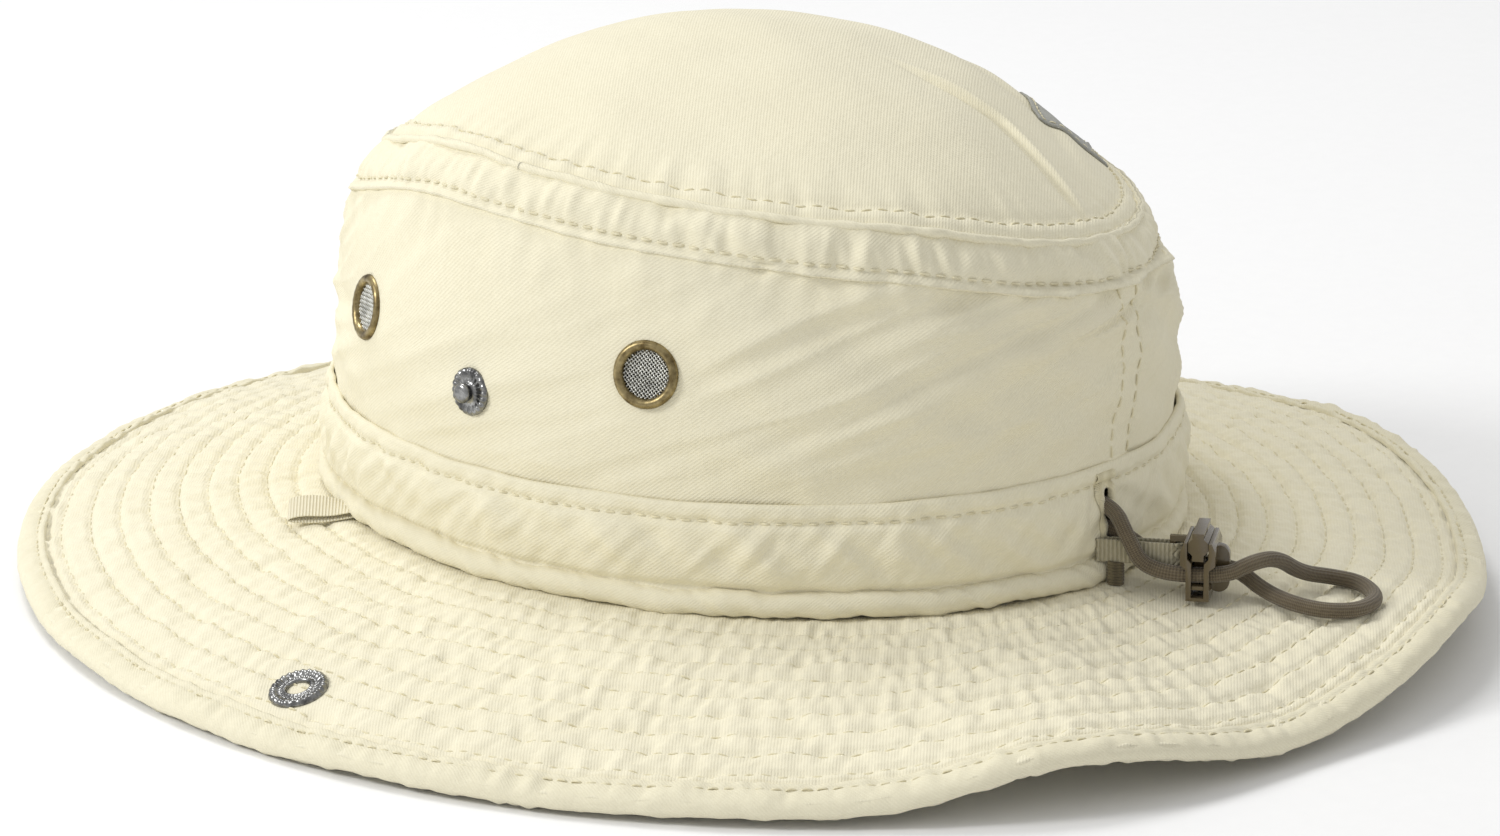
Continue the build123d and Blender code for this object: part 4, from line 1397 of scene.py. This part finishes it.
def make_label():
    """A plain woven patch sewn to the tip, with nothing printed on it."""
    centre = Vector((-48.5, 48.8))
    turn = radians(48)
    length = 26.0
    width = 16.0
    columns = 53
    rows = 33

    def on_tip(along, across, lift):
        x = centre.x + along * cos(turn) - across * sin(turn)
        y = centre.y + along * sin(turn) + across * cos(turn)
        angle = atan2((y - tip_shift) / tip_seam[1], x / tip_seam[0])
        share = hypot((y - tip_shift) / tip_seam[1], x / tip_seam[0])
        plain = dome_point(angle, share)
        return plain + up * (tip_relief(plain, share) + lift)

    points = []
    uvs = []
    for row in range(rows):
        across = mix(-width / 2, width / 2, row / (rows - 1))
        for column in range(columns):
            along = mix(-length / 2, length / 2, column / (columns - 1))
            edge = min(length / 2 - abs(along), width / 2 - abs(across))
            lift = 0.9 - 0.45 * smooth(0.5, 0.0, edge) - 0.25 * exp(-((edge - 1.3) / 0.4) ** 2)
            points.append(on_tip(along, across, lift))
            uvs.append((along * MM, across * MM))
    piece = clean(make_piece("blank_label", points, grid_faces(rows, columns, False), label_cloth, uvs))
    thicken(piece, 0.6)
    settle(piece, "root", "label", "label_patch")
    corners = ((-1, -1), (1, -1), (1, 1), (-1, 1), (-1, -1))
    line = []
    for (a, b), (c, d) in zip(corners, corners[1:]):
        for step in range(12):
            along = mix(a, c, step / 12) * (length / 2 - 1.3)
            across = mix(b, d, step / 12) * (width / 2 - 1.3)
            line.append((on_tip(along, across, 0.8), up))
    thread = stitches("label_thread", line, sewing_thread, 1.6, 0.6, 0.18)
    settle(thread, "root", "label")


# ---- Studio -------------------------------------------------------------------------------------


def area_light(name, place, size, power, aim):
    light = bpy.data.lights.new(name, "AREA")
    light.shape = "DISK"
    light.size = size
    light.energy = power
    lamp = bpy.data.objects.new(name, light)
    lamp.location = place
    lamp.rotation_euler = (aim - Vector(place)).to_track_quat("-Z", "Y").to_euler()
    bpy.context.scene.collection.objects.link(lamp)


def make_studio():
    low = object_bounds()[0][2]
    floor = make_piece("studio_floor", [(x / MM, y / MM, low / MM - 0.5) for x in (-6, 6) for y in (-6, 6)],
                       [(0, 2, 3, 1)], floor_material(), flat=True)
    world = bpy.data.worlds.new("studio_air")
    world.use_nodes = True
    world.node_tree.nodes["Background"].inputs["Color"].default_value = (1, 1, 1, 1)
    world.node_tree.nodes["Background"].inputs["Strength"].default_value = 0.62
    bpy.context.scene.world = world
    aim = Vector((0, 0, 0.03))
    area_light("key", (1.25, -0.75, 1.0), 0.45, 13.5, aim)
    area_light("top", (-0.1, -0.7, 1.5), 0.6, 8, aim)
    bpy.context.scene.view_settings.view_transform = "Standard"


def make_camera():
    azimuth = radians(132.499)
    elevation = radians(17.973)
    roll = radians(-0.66)
    distance = 1.1
    back = Vector((sin(azimuth) * cos(elevation), -cos(azimuth) * cos(elevation), sin(elevation)))
    right = Vector((cos(azimuth), sin(azimuth), 0))
    rise = back.cross(right)
    turned_right = right * cos(roll) + rise * sin(roll)
    turned_up = rise * cos(roll) - right * sin(roll)
    camera = bpy.data.cameras.new("camera")
    camera.sensor_width = 36
    camera.sensor_fit = "HORIZONTAL"
    camera.lens = 120.3
    camera.shift_x = 0.0023
    camera.shift_y = 0.0423
    camera.clip_start = 0.05
    view = bpy.data.objects.new("camera", camera)
    turn = Matrix((turned_right, turned_up, back)).transposed().to_4x4()
    view.matrix_world = Matrix.Translation(back * distance) @ turn
    bpy.context.scene.collection.objects.link(view)
    bpy.context.scene.camera = view


# ---- Build --------------------------------------------------------------------------------------

make_brim()
make_brim_stitches()
make_binding()
make_crown_side()
make_upper_band()
make_tip()
make_tip_seam()
make_back_seam()
make_casing()
make_keyhole()
make_piping()
make_sweatband()
make_eyelets()
make_snaps()
make_cord()
make_lock()
make_tape()
make_whipping()
make_ribbon()
make_label()
make_studio()
make_camera()
